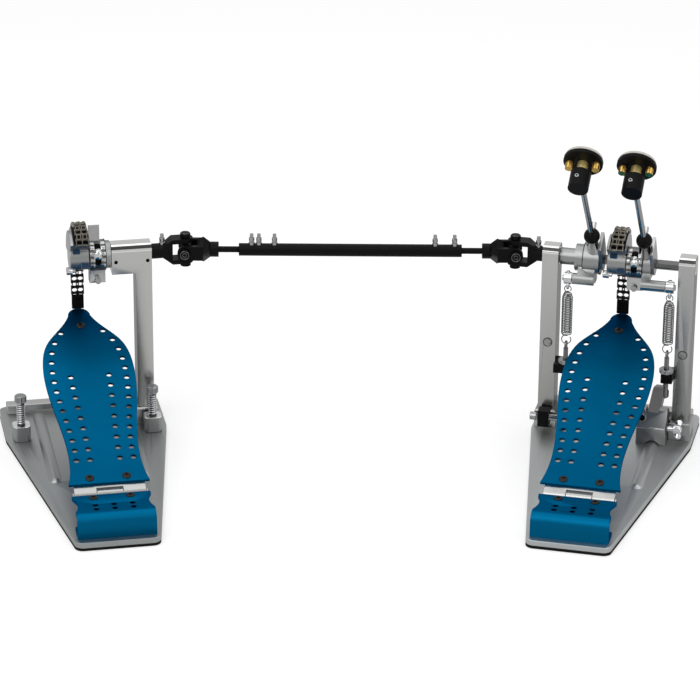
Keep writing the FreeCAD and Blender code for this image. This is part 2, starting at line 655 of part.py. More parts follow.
def make_footboard_hinge(side, place):
    """Make the hinge half under the footboard: leaf, two end knuckles and screws."""
    leaf = block(("-hinge_half", "hinge_knuckle_radius + part_gap", "board_lift - hinge_leaf"),
                 ("hinge_half", "board_screw_inset + hinge_leaf_reach", "board_lift"))
    parts = [leaf]
    for sign in (1, -1):
        inner = "hinge_middle_half + part_gap / 2"
        outer = "hinge_half"
        low, high = (inner, outer) if sign > 0 else ("-" + outer, "-(" + inner + ")")
        parts.append(bar_u("hinge_knuckle_radius", low, high))
        parts.append(block((low, "0", "board_lift - hinge_leaf"),
                           (high, "hinge_knuckle_radius + 2 * part_gap", "board_lift")))
    bore = bar_u("hinge_pin_radius + running_gap", "-hinge_half - overrun", "hinge_half + overrun")
    leaf = cut(fuse(*parts), bore)
    screws = []
    for u, s in (("screw_offset", "board_screw_inset"), ("-screw_offset", "board_screw_inset"),
                 ("0", "board_length - board_toe_screw")):
        at = (u, s, "board_lift + board_thickness")
        screws.append(cylinder("screw_head_radius", "screw_head_height", at))
    node(side + "_footboard_hinge", group(leaf, *screws), place)


def sector_u(radius, start, end):
    """Make the part of a disc along u that the chain lies on."""
    item = doc.addObject("Part::Cylinder", "Sector")
    bind(item, Radius=radius, Height="(%s) - (%s)" % (end, start), Angle="chain_wrap_angle")
    return put(item, (start, "0", "0"), ALONG_U * Rotation(Vector(0, 0, 1), 90))


def hex_bore(start, end):
    """Make the six-sided bore that seats on the axle."""
    return prism(6, "axle_hex_radius + seat_gap", start, end)


def make_sprocket(side, place):
    """Make the chain wheel: a round core, a sector under the chain and a flange beside it."""
    core = bar_u("core_radius", "-sprocket_half", "sprocket_half - part_gap")
    drum = sector_u("drum_radius", "-sprocket_half", "sprocket_half - part_gap")
    low = "-sprocket_half - flange_thickness"
    flange = sector_u("flange_radius", low, "-sprocket_half")
    rim = bar_u("core_radius", low, "-sprocket_half")
    bore = hex_bore(low + " - overrun", "sprocket_half + overrun")
    node(side + "_sprocket", cut(fuse(core, drum, flange, rim), bore), place)


def make_chain(side, place):
    """Make the chain that lies on the wheel, up to where it leaves it on the drum side."""
    inner = number("chain_radius - chain_half_height")
    outer = number("chain_radius + chain_half_height")
    half = number("chain_width / 2")
    wrap = number("chain_wrap_angle")
    profile = Part.makePolygon([Vector(-half, inner, 0), Vector(half, inner, 0), Vector(half, outer, 0),
                                Vector(-half, outer, 0), Vector(-half, inner, 0)])
    band = Part.Face(profile).revolve(Vector(), Vector(1, 0, 0), wrap)
    node(side + "_chain", make_shape(band), place)


def make_chain_drop(side, place):
    """Make the hanging run of chain and the strap that ends under the toe."""
    near = "chain_radius - chain_half_height"
    far = "chain_radius + chain_half_height"
    run = block(("-chain_width / 2", near, "-chain_end"), ("chain_width / 2", far, "-part_gap / 2"))
    strap = block(("-strap_width / 2", "chain_radius - strap_thickness / 2", "strap_end"),
                  ("strap_width / 2", "chain_radius + strap_thickness / 2", "-chain_end"))
    node(side + "_chain_drop", group(run, strap), place)


def rocker_web(start, length):
    """Make the web that carries a rocker pin below a hub, on the player's side."""
    web = bind(doc.addObject("Part::Box", "Web"), Length=length, Width="rocker_radius", Height="lug_width")
    turn = Rotation(Vector(1, 0, 0), number("rocker_angle"))
    low = Vector(0, -number("rocker_radius"), -number("lug_width / 2"))
    web.Placement = Placement(Vector(number(start), 0, 0), turn) * Placement(low, UPRIGHT)
    return web


def cheek_plate(start):
    """Make the plate that stands along the beater's line beside a hub."""
    plate = doc.addObject("Part::Box", "Cheek")
    bind(plate, Length="cheek_thickness", Width="2 * cheek_half", Height="cheek_reach")
    turn = Rotation(Vector(1, 0, 0), number("beater_lean"))
    low = Vector(0, -number("cheek_half"), 0)
    plate.Placement = Placement(Vector(number(start), 0, 0), turn) * Placement(low, UPRIGHT)
    return fuse(plate, bar_u("cheek_half", start, start + " + cheek_thickness"))


def clamp_lug():
    """Make the lug under a clamp hub and the bolt across it."""
    lug = block(("hub_start", "-lug_width / 2", "-lug_reach"), ("casting_start", "lug_width / 2", "0"))
    at = ("hub_start + hub_length / 2", "-lug_width / 2 - lug_bolt_length / 2",
          "lug_bolt_radius + part_gap - lug_reach")
    return fuse(lug, cylinder("lug_bolt_radius", "lug_bolt_length + lug_width", at, ALONG_V))


def turned_up(item):
    """Turn what faces the player up round the axle."""
    holder = group(item)
    holder.Placement = Placement(Vector(), Rotation(Vector(1, 0, 0), -number("hub_slot_turn")))
    return holder


def hub_slot():
    """Make the slot cut in a clamp hub's face towards the player."""
    middle = "hub_start + hub_length / 2"
    low = (middle + " - hub_slot_width / 2", "-hub_radius - overrun", "-hub_slot_height / 2")
    high = (middle + " + hub_slot_width / 2", "hub_slot_depth - hub_radius", "hub_slot_height / 2")
    return turned_up(block(low, high))


def hub_bolt():
    """Make the round bolt head in the middle of a clamp hub's slot."""
    at = ("hub_start + hub_length / 2", "-hub_radius - hub_bolt_height / 2", "0")
    head = cylinder("hub_bolt_radius", "hub_bolt_height + hub_slot_depth", at, ALONG_V)
    hub = bar_u("hub_radius + seat_gap", "hub_start - overrun", "casting_start + overrun")
    return turned_up(cut(head, hub))


def make_main_hub(place):
    """Make the main hub: slotted clamp hub, casting, cheek, rocker boss and pin."""
    hub = bar_u("hub_radius", "hub_start", "casting_start")
    casting = bar_u("casting_radius", "casting_start", "cheek_start")
    cheek = cheek_plate("cheek_start")
    boss_end = "main_spring_u - swivel_width / 2 - part_gap"
    boss = bar_u("boss_radius", "casting_start", boss_end, "rocker_v", "rocker_w")
    pin_end = "main_spring_u + rocker_pin_end"
    pin = bar_u("rocker_pin_radius", "casting_start", pin_end, "rocker_v", "rocker_w")
    web = rocker_web("casting_start", "casting_length")
    bore_end = "cheek_start + cheek_thickness + overrun"
    bore = hex_bore("hub_start - overrun", bore_end)
    body = cut(fuse(hub, casting, cheek, boss, pin, web, clamp_lug()), bore, hub_slot())
    node("main_hub", group(body, hub_bolt()), place)


def make_slave_drive_hub(place):
    """Make the second pedal's clamp hub with its lug, bolt and upright tab."""
    hub = bar_u("hub_radius", "hub_start", "casting_start")
    casting = bar_u("casting_radius", "casting_start", "block_start - part_gap")
    tab = block(("hub_start", "-tab_thickness / 2", "0"),
                ("hub_start + tab_width", "tab_thickness / 2", "tab_height"))
    bore = hex_bore("hub_start - overrun", "block_start + overrun")
    body = cut(fuse(hub, casting, clamp_lug(), tab), bore, hub_slot())
    node("slave_drive_hub", group(body, hub_bolt()), place)


def make_main_axle(place):
    """Make the main axle: a spigot in the sleeve, a hexagon and a journal in the post."""
    spigot = bar_u("axle_radius", "spigot_end", "slave_hub_end + 2 * part_gap")
    hexagon = prism(6, "axle_hex_radius", "slave_hub_end + part_gap", "post_inner - part_gap")
    journal = bar_u("axle_radius", "post_inner - 2 * part_gap", "post_offset + post_width / 2")
    node("main_axle", fuse(spigot, hexagon, journal), place)


def make_slave_hub(place):
    """Make the hub that the second pedal turns: sleeve, collar, drum, cheek, rocker and pin."""
    journal = bar_u("journal_radius", "-yoke_start", "-post_inner + part_gap")
    sleeve = bar_u("sleeve_radius", "-post_inner + part_gap", "collar_start")
    collar = bar_u("collar_radius", "collar_start", "collar_start + collar_length")
    drum = bar_u("slave_hub_radius", "collar_start + collar_length", "slave_hub_end - cheek_thickness")
    cheek = cheek_plate("slave_hub_end - cheek_thickness")
    start = "collar_start + collar_length / 2"
    web = rocker_web(start, "slave_hub_length")
    end = start + " + slave_hub_length"
    boss = bar_u("boss_radius", "slave_spring_u + swivel_width / 2 + part_gap", end, "rocker_v", "rocker_w")
    pin = bar_u("rocker_pin_radius", "slave_spring_u - rocker_pin_end", end, "rocker_v", "rocker_w")
    bore = bar_u("sleeve_bore", "spigot_end - part_gap", "slave_hub_end + overrun")
    node("slave_hub", cut(fuse(journal, sleeve, collar, drum, cheek, web, boss, pin), bore), place)


def make_socket(side):
    """Make a beater's socket on its hub: a ball on a neck, with a key screw and the shaft's bore."""
    hub = "hub_radius" if side == "main" else "slave_hub_radius"
    ball = sphere("socket_radius", ("0", "0", "socket_reach"))
    neck = cylinder("socket_neck_radius", "socket_reach", ("0", "0", "0"))
    key = cylinder("key_screw_radius", "key_screw_length", ("0", "0", "socket_reach"), ALONG_V)
    at = ("socket_reach * sin(beater_tilt * 1 deg)", "0", "socket_reach * (1 - cos(beater_tilt * 1 deg))")
    bore = cylinder("beater_radius + running_gap", "beater_reach", at,
                    Rotation(Vector(0, 1, 0), -number("beater_tilt")))
    seat = bar_u(hub + " + seat_gap", "-2 * socket_radius", "2 * socket_radius")
    node(side + "_beater_socket", cut(fuse(ball, neck, key), bore, seat), beater_place(side))


def across(radius, start, length, u="0"):
    """Make a round piece of a beater's head, square to the beater's shaft."""
    return cylinder(radius, length, (u, start, "beater_reach"), ALONG_V)


def make_beater(side):
    """Make a beater: shaft, head with its disc, neck and weights, and the felt."""
    place = tilted_place(side)
    shaft = cylinder("beater_radius", "beater_reach - beater_tail", ("0", "0", "beater_tail"))
    node(side + "_beater_shaft", shaft, place)
    body = across("beater_body_radius", "-beater_body_back", "beater_body_back + beater_body_front")
    neck = across("beater_neck_radius", "beater_body_front", "beater_neck_length")
    disc = across("beater_disc_radius", "disc_start", "beater_disc_thickness")
    weights = [across("beater_weight_radius", "disc_start - beater_weight_length", "beater_weight_length",
                      "%s * beater_weight_offset" % sign) for sign in ("1", "-1")]
    seat = cylinder("beater_radius + seat_gap", "beater_reach - beater_tail + seat_gap",
                    ("0", "0", "beater_tail"))
    node(side + "_beater_head", cut(fuse(body, neck, disc, *weights), seat), place)
    felt = across("beater_felt_radius", "disc_start + beater_disc_thickness", "beater_felt_thickness")
    node(side + "_beater_felt", felt, place)


def arc_through(start, tangent, end):
    """Return the arc that leaves a point along a tangent and ends at another."""
    chord = end - start
    across = chord - tangent * chord.dot(tangent)
    if across.Length < chord.Length * NOTHING_SHARE:
        return Part.LineSegment(start, end)
    radius = chord.Length ** 2 / (2 * across.Length)
    centre = start + across.normalize() * radius
    middle = (start + end) / 2 - centre
    if chord.dot(tangent) < 0:
        middle = middle * -1
    return Part.Arc(start, centre + middle.normalize() * radius, end)


def biarc(start, start_way, end, end_way):
    """Return two arcs that join two points along their tangents."""
    gap = end - start
    ways = start_way + end_way
    a = 2 * (1 - start_way.dot(end_way))
    b = 2 * gap.dot(ways)
    c = -gap.dot(gap)
    if abs(a) < NOTHING_SHARE:
        reach = -c / b
    else:
        reach = (-b + math.sqrt(b * b - 4 * a * c)) / (2 * a)
    knee = (start + start_way * reach + end - end_way * reach) / 2
    first = arc_through(start, start_way, knee)
    second_back = arc_through(end, end_way * -1, knee)
    return [first, second_back]


def loop_places(middle, radius, down):
    """Return places and tangents round an end loop that starts on the axis, in the upright plane along u.

    A loop that goes down starts at its top and ends a coil.
    A loop that goes up ends at its foot and starts one.
    """
    steps = 4
    turn = 2 * math.pi * LOOP_TURN_SHARE
    sign = 1 if down else -1
    places = []
    for i in range(steps + 1):
        angle = turn * i / steps
        across = Vector(-radius * math.sin(angle), 0, sign * radius * math.cos(angle))
        way = Vector(-sign * math.cos(angle), 0, -math.sin(angle))
        places.append((Vector(0, 0, middle) + across, way))
    return places if down else list(reversed(places))


def coil_radius(turn):
    """Return the coil's radius at a turn: from the axis, through the neck, to the wide coils and back."""
    left = number("spring_turns") - turn
    wide = number("spring_radius")
    narrow = number("spring_neck_radius")
    neck = min(turn / number("spring_neck_turns"), 1.0)
    body = narrow + (wide - narrow) * neck
    full_turn = 2 * math.pi
    return body * (1 - math.exp(-full_turn * turn)) * (1 - math.exp(-full_turn * left / 2))


def coil_place(turn):
    """Return the place on the coil's middle line at a turn."""
    angle = 2 * math.pi * turn
    radius = coil_radius(turn)
    drop = number("spring_pitch") * turn
    return Vector(radius * math.cos(angle), radius * math.sin(angle), number("coil_top") - drop)


def spring_route():
    """Return places and tangents along the spring: a hook, the coils and a loop."""
    turns = int(number("spring_turns"))
    quarters = 4 * turns
    route = []
    for i in range(quarters + 1):
        turn = i / 4
        before = coil_place(max(turn - TANGENT_STEP_SHARE, 0))
        after = coil_place(min(turn + TANGENT_STEP_SHARE, turns))
        way = (after - before).normalize()
        if i in (0, quarters):
            way = Vector(1 if i == 0 else -1, 0, 0)
        route.append((coil_place(turn), way))
    hook = loop_places(number("hook_middle"), number("spring_hook_radius"), down=False)
    loop = loop_places(number("coil_bottom - spring_loop_radius"), number("spring_loop_radius"), down=True)
    return hook[:-1] + route + loop[1:]


def spring_edges():
    """Return the spring's middle line as arcs."""
    route = spring_route()
    edges = []
    for (start, start_way), (end, end_way) in zip(route, route[1:]):
        edges += [curve.toShape() for curve in biarc(start, start_way, end, end_way)]
    return edges


def least_gap(edges):
    """Return the least gap between turns of the spring, from points along its middle line."""
    per_edge = 6
    points = []
    for edge in edges:
        points += edge.discretize(per_edge)[:-1]
    travel = [0.0]
    for here, there in zip(points, points[1:]):
        travel.append(travel[-1] + (there - here).Length)
    clear = math.pi * number("spring_neck_radius")
    gap = number("spring_radius")
    for i, place in enumerate(points):
        for j in range(i + 1, len(points)):
            if travel[j] - travel[i] > clear:
                gap = min(gap, (points[j] - place).Length)
    return gap - number("2 * spring_wire_radius")


def spring_solid():
    """Make the coiled spring as one unbroken tube."""
    edges = spring_edges()
    print("spring's least gap to itself: %.2f mm" % least_gap(edges))
    start, way = spring_route()[0]
    section = Part.Wire([Part.makeCircle(number("spring_wire_radius"), start, way)])
    return Part.Wire(edges).makePipeShell([section], True, False)


def pin_place(side):
    """Return the frame at a rocker pin, under the swivel."""
    pin = Vector(number(side + "_spring_u"), number("rocker_v"), number("rocker_w"))
    return axle_place("main") * Placement(pin, UPRIGHT)


def make_spring(side, coil):
    """Make a return spring, the swivel above it and the knob below it."""
    place = pin_place(side)
    node(side + "_spring", make_shape(coil.copy()), place)
    half = "swivel_width / 2"
    collar = tube_u("swivel_outer", "rocker_pin_radius + running_gap", "-" + half, half)
    eye = ring("swivel_eye_radius", "swivel_eye_wire", ("0", "0", "-swivel_eye_drop"), ALONG_U)
    node(side + "_spring_swivel", fuse(collar, eye), place)
    low = "bracket_top + knob_gap - pin_w"
    knob = cylinder("knob_radius", "knob_height", ("0", "0", low))
    bore = cylinder("eyebolt_radius + running_gap", "knob_height + 2 * overrun",
                    ("0", "0", low + " - overrun"))
    node(side + "_spring_knob", cut(knob, bore), place)


def spring_bracket(side):
    """Make the bracket on the post that an eyebolt passes through."""
    u = side + "_spring_u"
    sign = 1 if number(u) > 0 else -1
    post = "%d * post_inner" % sign
    past = "%s - %d * bracket_past" % (u, sign)
    low_u, high_u = (past, post) if sign > 0 else (post, past)
    plate = block((low_u, "pin_v - bracket_front", "bracket_top - bracket_height"),
                  (high_u, "axle_v", "bracket_top"))
    hole = cylinder("eyebolt_radius + seat_gap", "bracket_height + 2 * overrun",
                    (u, "pin_v", "bracket_top - bracket_height - overrun"))
    return cut(plate, hole)


def eyebolt(side):
    """Make the eyebolt that holds the lower end of a spring."""
    u = side + "_spring_u"
    eye = ring("eye_radius", "eye_wire_radius", (u, "pin_v", "pin_w + eye_middle"), ALONG_U)
    shank = cylinder("eyebolt_radius", "pin_w + eye_middle - eye_radius - eyebolt_bottom",
                     (u, "pin_v", "eyebolt_bottom"))
    return fuse(eye, shank)


def make_springs(place):
    """Make both return springs and the pieces that hold their lower ends."""
    coil = spring_solid()
    sides = ("main", "slave")
    for side in sides:
        make_spring(side, coil)
    node("spring_brackets", group(*[spring_bracket(side) for side in sides]), place)
    node("spring_eyebolts", group(*[eyebolt(side) for side in sides]), place)


def yoke_neck(sign):
    """Make the part of a yoke that widens from its boss to its ears."""
    item = doc.addObject("Part::Wedge", "Neck")
    bind(item, Ymin="yoke_start + yoke_boss_length - yoke_web", Ymax="yoke_ear_start")
    narrow = "%s * yoke_boss_radius" % YOKE_NECK_SHARE
    bind(item, Xmin="-" + narrow, Xmax=narrow, Zmin="-" + narrow, Zmax=narrow)
    bind(item, X2min="-ear_half", X2max="ear_half", Z2min="-yoke_half", Z2max="yoke_half")
    item.Placement = Placement(Vector(), Rotation(Vector(0, 0, 1), -90 * sign))
    return item


def yoke(sign, start):
    """Make the yoke at the end of an axle, with upright pivot bores and a key bolt."""
    def span(low, high):
        return (low, high) if sign > 0 else ("-(%s)" % high, "-(%s)" % low)
    parts = [bar_u("yoke_boss_radius", *span(start, "yoke_start + yoke_boss_length")), yoke_neck(sign)]
    low, high = span("yoke_ear_start", "joint_offset")
    middle = "%d * joint_offset" % sign
    for bottom in ("yoke_half - ear_thickness", "-yoke_half"):
        parts.append(block((low, "-ear_half", bottom), (high, "ear_half", bottom + " + ear_thickness")))
        parts.append(cylinder("ear_half", "ear_thickness", (middle, "0", bottom)))
    at = "%d * (yoke_start + yoke_boss_length / 2)" % sign
    parts.append(cylinder("key_bolt_radius", "key_bolt_height", (at, "0", "yoke_boss_radius - part_gap")))
    pivot = cylinder("cross_pin_radius + pivot_gap", "2 * yoke_half + 2 * overrun",
                     (middle, "0", "-yoke_half - overrun"))
    return cut(fuse(*parts), pivot)


def shaft_web(middle, toward):
    """Make the web of a shaft's yoke, which swells from its ears and narrows to its boss."""
    rings = []
    for place, width in zip(SHAFT_WEB_PLACE_SHARES, SHAFT_WEB_WIDTH_SHARES):
        station = middle + toward * (number("shaft_yoke_back") + number("shaft_yoke_web") * place)
        corner = number("shaft_yoke_web_radius") * width
        corners = [station + way * corner
                   for way in (Vector(0, 1, 0), Vector(0, 0, 1), Vector(0, -1, 0), Vector(0, 0, -1))]
        rings.append(Part.makePolygon(corners + corners[:1]))
    return Part.makeLoft(rings, True, True)


def shaft_yoke(sign):
    """Make the yoke at an end of the shaft, with level pivot bores."""
    toward = Vector(-sign, 0, 0)
    middle = Vector(sign * shaft_half(), 0, 0)
    half = number("ear_half")
    thickness = number("ear_thickness")
    reach = number("shaft_yoke_back") + number("shaft_yoke_web") * SHAFT_WEB_PLACE_SHARES[1]
    boss_start = middle + toward * number("shaft_yoke_back + shaft_yoke_web")
    parts = [Part.makeCylinder(number("yoke_boss_radius"), number("shaft_yoke_boss"), boss_start, toward)]
    for y in (number("yoke_half - ear_thickness"), -number("yoke_half")):
        low = middle + Vector(-reach if sign > 0 else 0, y, -half)
        parts.append(Part.makeBox(reach, thickness, 2 * half, low))
        parts.append(Part.makeCylinder(half, thickness, middle + Vector(0, y, 0), Vector(0, 1, 0)))
    through = number("yoke_half + overrun")
    drill = Part.makeCylinder(number("cross_pin_radius + running_gap"), 2 * through,
                              middle - Vector(0, through, 0), Vector(0, 1, 0))
    return shaft_web(middle, toward).fuse(parts).cut(drill).removeSplitter()


def cross(sign):
    """Make the cross of a universal joint: a block, two pins and their heads."""
    middle = Vector(sign * shaft_half(), 0, 0)
    side = number("cross_block")
    parts = [Part.makeBox(side, side, side, middle - Vector(side / 2, side / 2, side / 2))]
    reach = number("yoke_half + part_gap")
    head = number("cross_head_height")
    for way in (Vector(0, 0, 1), Vector(0, 1, 0)):
        parts.append(Part.makeCylinder(number("cross_pin_radius"), 2 * reach, middle - way * reach, way))
        for end in (1, -1):
            start = middle + way * (end * reach)
            parts.append(Part.makeCylinder(number("cross_head_radius"), head, start, way * end))
    return make_shape(parts[0].fuse(parts[1:]).removeSplitter())


def make_shaft():
    """Make the telescopic shaft, its yokes, its key bolts and the two crosses."""
    place = shaft_place()
    yoke_end = shaft_half() - number("shaft_yoke_back + shaft_yoke_web")
    rod = number("rod_radius")
    along_u = Vector(1, 0, 0)
    tube_end = number("tube_half")
    right_rod = Part.makeCylinder(rod, yoke_end - tube_end, Vector(tube_end, 0, 0), along_u)
    rod_start = tube_end - number("rod_overlap")
    left_rod = Part.makeCylinder(rod, yoke_end - rod_start, Vector(-yoke_end, 0, 0), along_u)
    tube = cut(bar_u("tube_radius", "-tube_half", "tube_half"),
               bar_u("rod_radius + running_gap", "-tube_half - overrun", "tube_half - rod_overlap"))
    bolts = [cylinder("key_bolt_radius", "key_bolt_height",
                      ("%s * tube_half" % share, "0", "tube_radius - part_gap"))
             for share in KEY_BOLT_PLACE_SHARES]
    node("shaft_tube", fuse(tube, make_shape(right_rod.fuse(shaft_yoke(1))), *bolts), place)
    node("shaft_left_yoke", make_shape(left_rod.fuse(shaft_yoke(-1))), place)
    for name, sign in (("right", 1), ("left", -1)):
        node("cross_" + name, cross(sign), place)


def make_slave_axle(place):
    """Make the second pedal's axle and the yoke on its end."""
    hexagon = prism(6, "axle_hex_radius", "-sprocket_half - flange_thickness", "block_start - part_gap")
    journal = bar_u("axle_radius", "block_start - part_gap", "slave_yoke_start")
    node("slave_axle", fuse(hexagon, journal), place)
    node("slave_yoke", yoke(1, "slave_yoke_start"), place)


def spur_lug(sign):
    """Make the lug that carries a spur."""
    u = "%s * spur_offset" % sign
    lug = block((u + " - spur_lug_half", "spur_v - spur_lug_half", "base_top"),
                (u + " + spur_lug_half", "spur_v + spur_lug_half", "base_top + spur_lug_height"))
    rounded = round_edges(lug, "spur_lug_half / 2", lambda edge: along(edge, Vector(0, 0, 1)))
    return cut(rounded, spur_bore(sign))


def spur_bore(sign):
    """Make the bore that a spur runs in."""
    at = ("%s * spur_offset" % sign, "spur_v", "-overrun")
    return cylinder("spur_radius + running_gap", "spur_top", at)


def make_spurs(place):
    """Make the two spurs, with round heads, that grip the floor."""
    for name, sign in (("left", "-1"), ("right", "1")):
        at = ("%s * spur_offset" % sign, "spur_v", "spur_foot_gap")
        shank = cylinder("spur_radius", "spur_top - spur_head_height / 2 - spur_foot_gap", at)
        head = cylinder("spur_head_radius", "spur_head_height", at[:2] + ("spur_top - spur_head_height",))
        node("spur_" + name, fuse(shank, head), place)


def make_clamp(place):
    """Make the hoop clamp: body over the rib, jaw with its pad, and wing screw."""
    back = "clamp_front + clamp_depth"
    points = [("clamp_front", "base_top"), (back, "base_top"), (back, "clamp_top - clamp_slope"),
              (back + " - clamp_slope", "clamp_top"), ("clamp_front + clamp_slope", "clamp_top"),
              ("clamp_front", "clamp_top - 2 * clamp_slope")]
    body = padded_outline("ClampBody", "YZ_Plane", points, "2 * clamp_half", middle=True)
    at = ("rib_offset - clamp_u", "clamp_front - overrun", "base_top + rib_rise - rib_radius")
    arch = cylinder("rib_radius + clamp_arch_gap", "clamp_depth + 2 * overrun", at, ALONG_V)
    room = "jaw_eye_radius + part_gap"
    slot = block(("-clamp_slot_half", "jaw_pivot_v - (%s)" % room, "jaw_pivot_w - (%s)" % room),
                 ("clamp_slot_half", back + " + overrun", "clamp_top + overrun"))
    thread = bar_u("wing_shank_radius + running_gap", "clamp_half - wing_thread - part_gap",
                   "clamp_half + overrun", "wing_v", "wing_w")
    pin = bar_u("jaw_pin_radius", "-clamp_half", "clamp_half", "jaw_pivot_v", "jaw_pivot_w")
    shift = place * Placement(Vector(number("clamp_u"), 0, 0), UPRIGHT)
    node("clamp_body", fuse(cut(body, arch, slot, thread), pin), shift)
    return shift


def make_jaw(place):
    """Make the clamp's jaw, bent over the hoop, and the rubber pad under its nose."""
    half = "jaw_bar / 2"
    points = [("jaw_pivot_v", "jaw_pivot_w - " + half),
              ("jaw_knee_v", "jaw_knee_w - %s * jaw_bar" % JAW_KNEE_SHARE),
              ("jaw_nose_v - " + half, "jaw_nose_w"), ("jaw_nose_v + " + half, "jaw_nose_w"),
              ("jaw_nose_v + " + half, "jaw_nose_w + " + half), ("jaw_knee_v + " + half, "jaw_knee_w"),
              ("jaw_knee_v - " + half, "jaw_knee_w"), ("jaw_pivot_v - " + half, "jaw_pivot_w + " + half)]
    arm = padded_outline("JawArm", "YZ_Plane", points, "2 * jaw_half", middle=True)
    eye = bar_u("jaw_eye_radius", "-jaw_half", "jaw_half", "jaw_pivot_v", "jaw_pivot_w")
    bore = bar_u("jaw_pin_radius + running_gap", "-clamp_half", "clamp_half", "jaw_pivot_v", "jaw_pivot_w")
    node("clamp_jaw", cut(fuse(arm, eye), bore), place)
    pad = cylinder("pad_radius", "pad_height", ("0", "jaw_nose_v", "jaw_nose_w - pad_height"))
    node("clamp_pad", pad, place)


def make_wing_screw(place):
    """Make the wing screw in the clamp's side."""
    shank = bar_u("wing_shank_radius", "-wing_thread", "wing_shank_length")
    hub = bar_u("wing_hub_radius", "wing_shank_length - part_gap", "wing_shank_length + wing_hub_length")
    parts = [shank, hub]
    for sign in ("1", "-1"):
        tip = "%s * (wing_reach - wing_round)" % sign
        at = ("wing_shank_length + wing_hub_length / 2", "-wing_thickness / 2", tip)
        parts.append(cylinder("wing_round", "wing_thickness", at, ALONG_V))
    end = "wing_shank_length + wing_hub_length"
    parts.append(block(("wing_shank_length", "-wing_thickness / 2", "wing_round - wing_reach"),
                       (end, "wing_thickness / 2", "wing_reach - wing_round")))
    tilt = Rotation(Vector(1, 0, 0), number("wing_tilt"))
    at = Vector(number("clamp_half"), number("wing_v"), number("wing_w"))
    node("clamp_wing_screw", fuse(*parts), place * Placement(at, tilt))


def make_drum_key(place):
    """Make the drum key and the clip that holds it in front of the left post."""
    front = "post_front - foot_grow"
    u = "-post_offset"
    clip = block((u + " - clip_width / 2", front + " - clip_depth", "key_w - clip_height / 2"),
                 (u + " + clip_width / 2", front, "key_w + clip_height / 2"))
    middle = front + " - clip_depth / 2"
    bore = bar_u("key_radius + running_gap", u + " - clip_width", u + " + clip_width", middle, "key_w")
    node("key_clip", cut(clip, bore), place)
    rod = bar_u("key_radius", u + " - key_half", u + " + key_half", middle, "key_w")
    left = u + " - key_half"
    socket = bar_u("key_socket_radius", left, left + " + key_socket_length", middle, "key_w")
    node("drum_key", fuse(rod, socket), place)


def make_pedal(side):
    """Make what both pedals have: heel plate, hinge, footboard, chain wheel and chain."""
    place = pedal_place(side)
    make_heel_plate(side, place)
    make_heel_hinge(side, place)
    make_footboard(side, board_place(side))
    make_footboard_hinge(side, board_place(side))
    make_sprocket(side, axle_place(side))
    make_chain(side, axle_place(side))
    make_chain_drop(side, axle_place(side))


def make_main_pedal():
    """Make the main pedal with both beaters and their return springs."""
    place = pedal_place("main")
    axle = axle_place("main")
    node("main_bridge", make_base("main", place), place)
    make_main_posts(place)
    make_pedal("main")
    make_main_hub(axle)
    make_main_axle(axle)
    make_slave_hub(axle)
    node("hub_yoke", yoke(-1, "yoke_start"), axle)
    for side in ("main", "slave"):
        make_socket(side)
        make_beater(side)
    make_springs(place)
    clamp = make_clamp(place)
    make_jaw(clamp)
    make_wing_screw(clamp)
    make_drum_key(place)


def make_slave_pedal():
    """Make the second pedal with its spurs."""
    place = pedal_place("slave")
    axle = axle_place("slave")
    bar = make_base("slave", place)
    node("slave_bridge", group(bar, *[spur_lug(sign) for sign in ("1", "-1")]), place)
    make_slave_post(place)
    make_pedal("slave")
    make_slave_drive_hub(axle)
    make_slave_axle(axle)
    make_spurs(place)


def failures():
    """Return what is wrong with the document's objects and with the sub-parts."""
    wrong = [item.Label for item in doc.Objects if {"Invalid", "Error"} & set(item.State)]
    for name, item in nodes.items():
        if item.Shape.isNull() or not item.Shape.isValid() or not item.Shape.Solids:
            wrong.append(name)
    for item in doc.Objects:
        if item.TypeId == "Part::Cut" and item.Shape.Volume > item.Base.Shape.Volume * (1 - NOTHING_SHARE):
            wrong.append(item.Label + ", which cuts nothing")
    return wrong


def main():
    """Build every sub-part, test it and write it."""
    make_main_pedal()
    make_slave_pedal()
    make_shaft()
    doc.recompute()
    wrong = failures()
    if wrong:
        raise RuntimeError("failed: " + ", ".join(wrong))
    os.makedirs("parts", exist_ok=True)
    for name, item in nodes.items():
        item.Shape.exportStep("parts/%s.step" % name)


main()
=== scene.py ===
import json
import logging
import math
from dataclasses import dataclass
from enum import Enum
from typing import Any, Callable, ClassVar, Iterable, Sequence

import bmesh
import bpy
from mathutils import Matrix, Vector


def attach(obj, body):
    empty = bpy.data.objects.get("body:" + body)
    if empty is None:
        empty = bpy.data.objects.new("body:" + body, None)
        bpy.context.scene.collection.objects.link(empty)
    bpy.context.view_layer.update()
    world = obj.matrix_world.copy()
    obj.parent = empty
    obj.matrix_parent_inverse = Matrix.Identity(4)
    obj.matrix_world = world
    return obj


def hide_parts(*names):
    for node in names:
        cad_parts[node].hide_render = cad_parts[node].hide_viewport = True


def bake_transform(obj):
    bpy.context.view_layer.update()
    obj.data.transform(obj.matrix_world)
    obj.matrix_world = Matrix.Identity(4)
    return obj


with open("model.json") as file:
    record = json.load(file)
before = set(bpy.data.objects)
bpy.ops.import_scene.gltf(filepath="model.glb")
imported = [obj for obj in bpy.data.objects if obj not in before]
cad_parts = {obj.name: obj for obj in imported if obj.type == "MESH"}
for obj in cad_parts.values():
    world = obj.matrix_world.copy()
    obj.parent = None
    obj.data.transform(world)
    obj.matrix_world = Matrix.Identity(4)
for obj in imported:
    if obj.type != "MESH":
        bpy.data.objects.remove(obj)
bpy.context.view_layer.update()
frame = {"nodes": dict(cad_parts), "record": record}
BODY_OF = {node: body for body, members in frame["record"]["behaviour"]["bodies"].items() for node in members}
LOG = logging.getLogger("double_pedal")
MM = 0.001
Mesh = bmesh.types.BMesh
Thing = bpy.types.Object
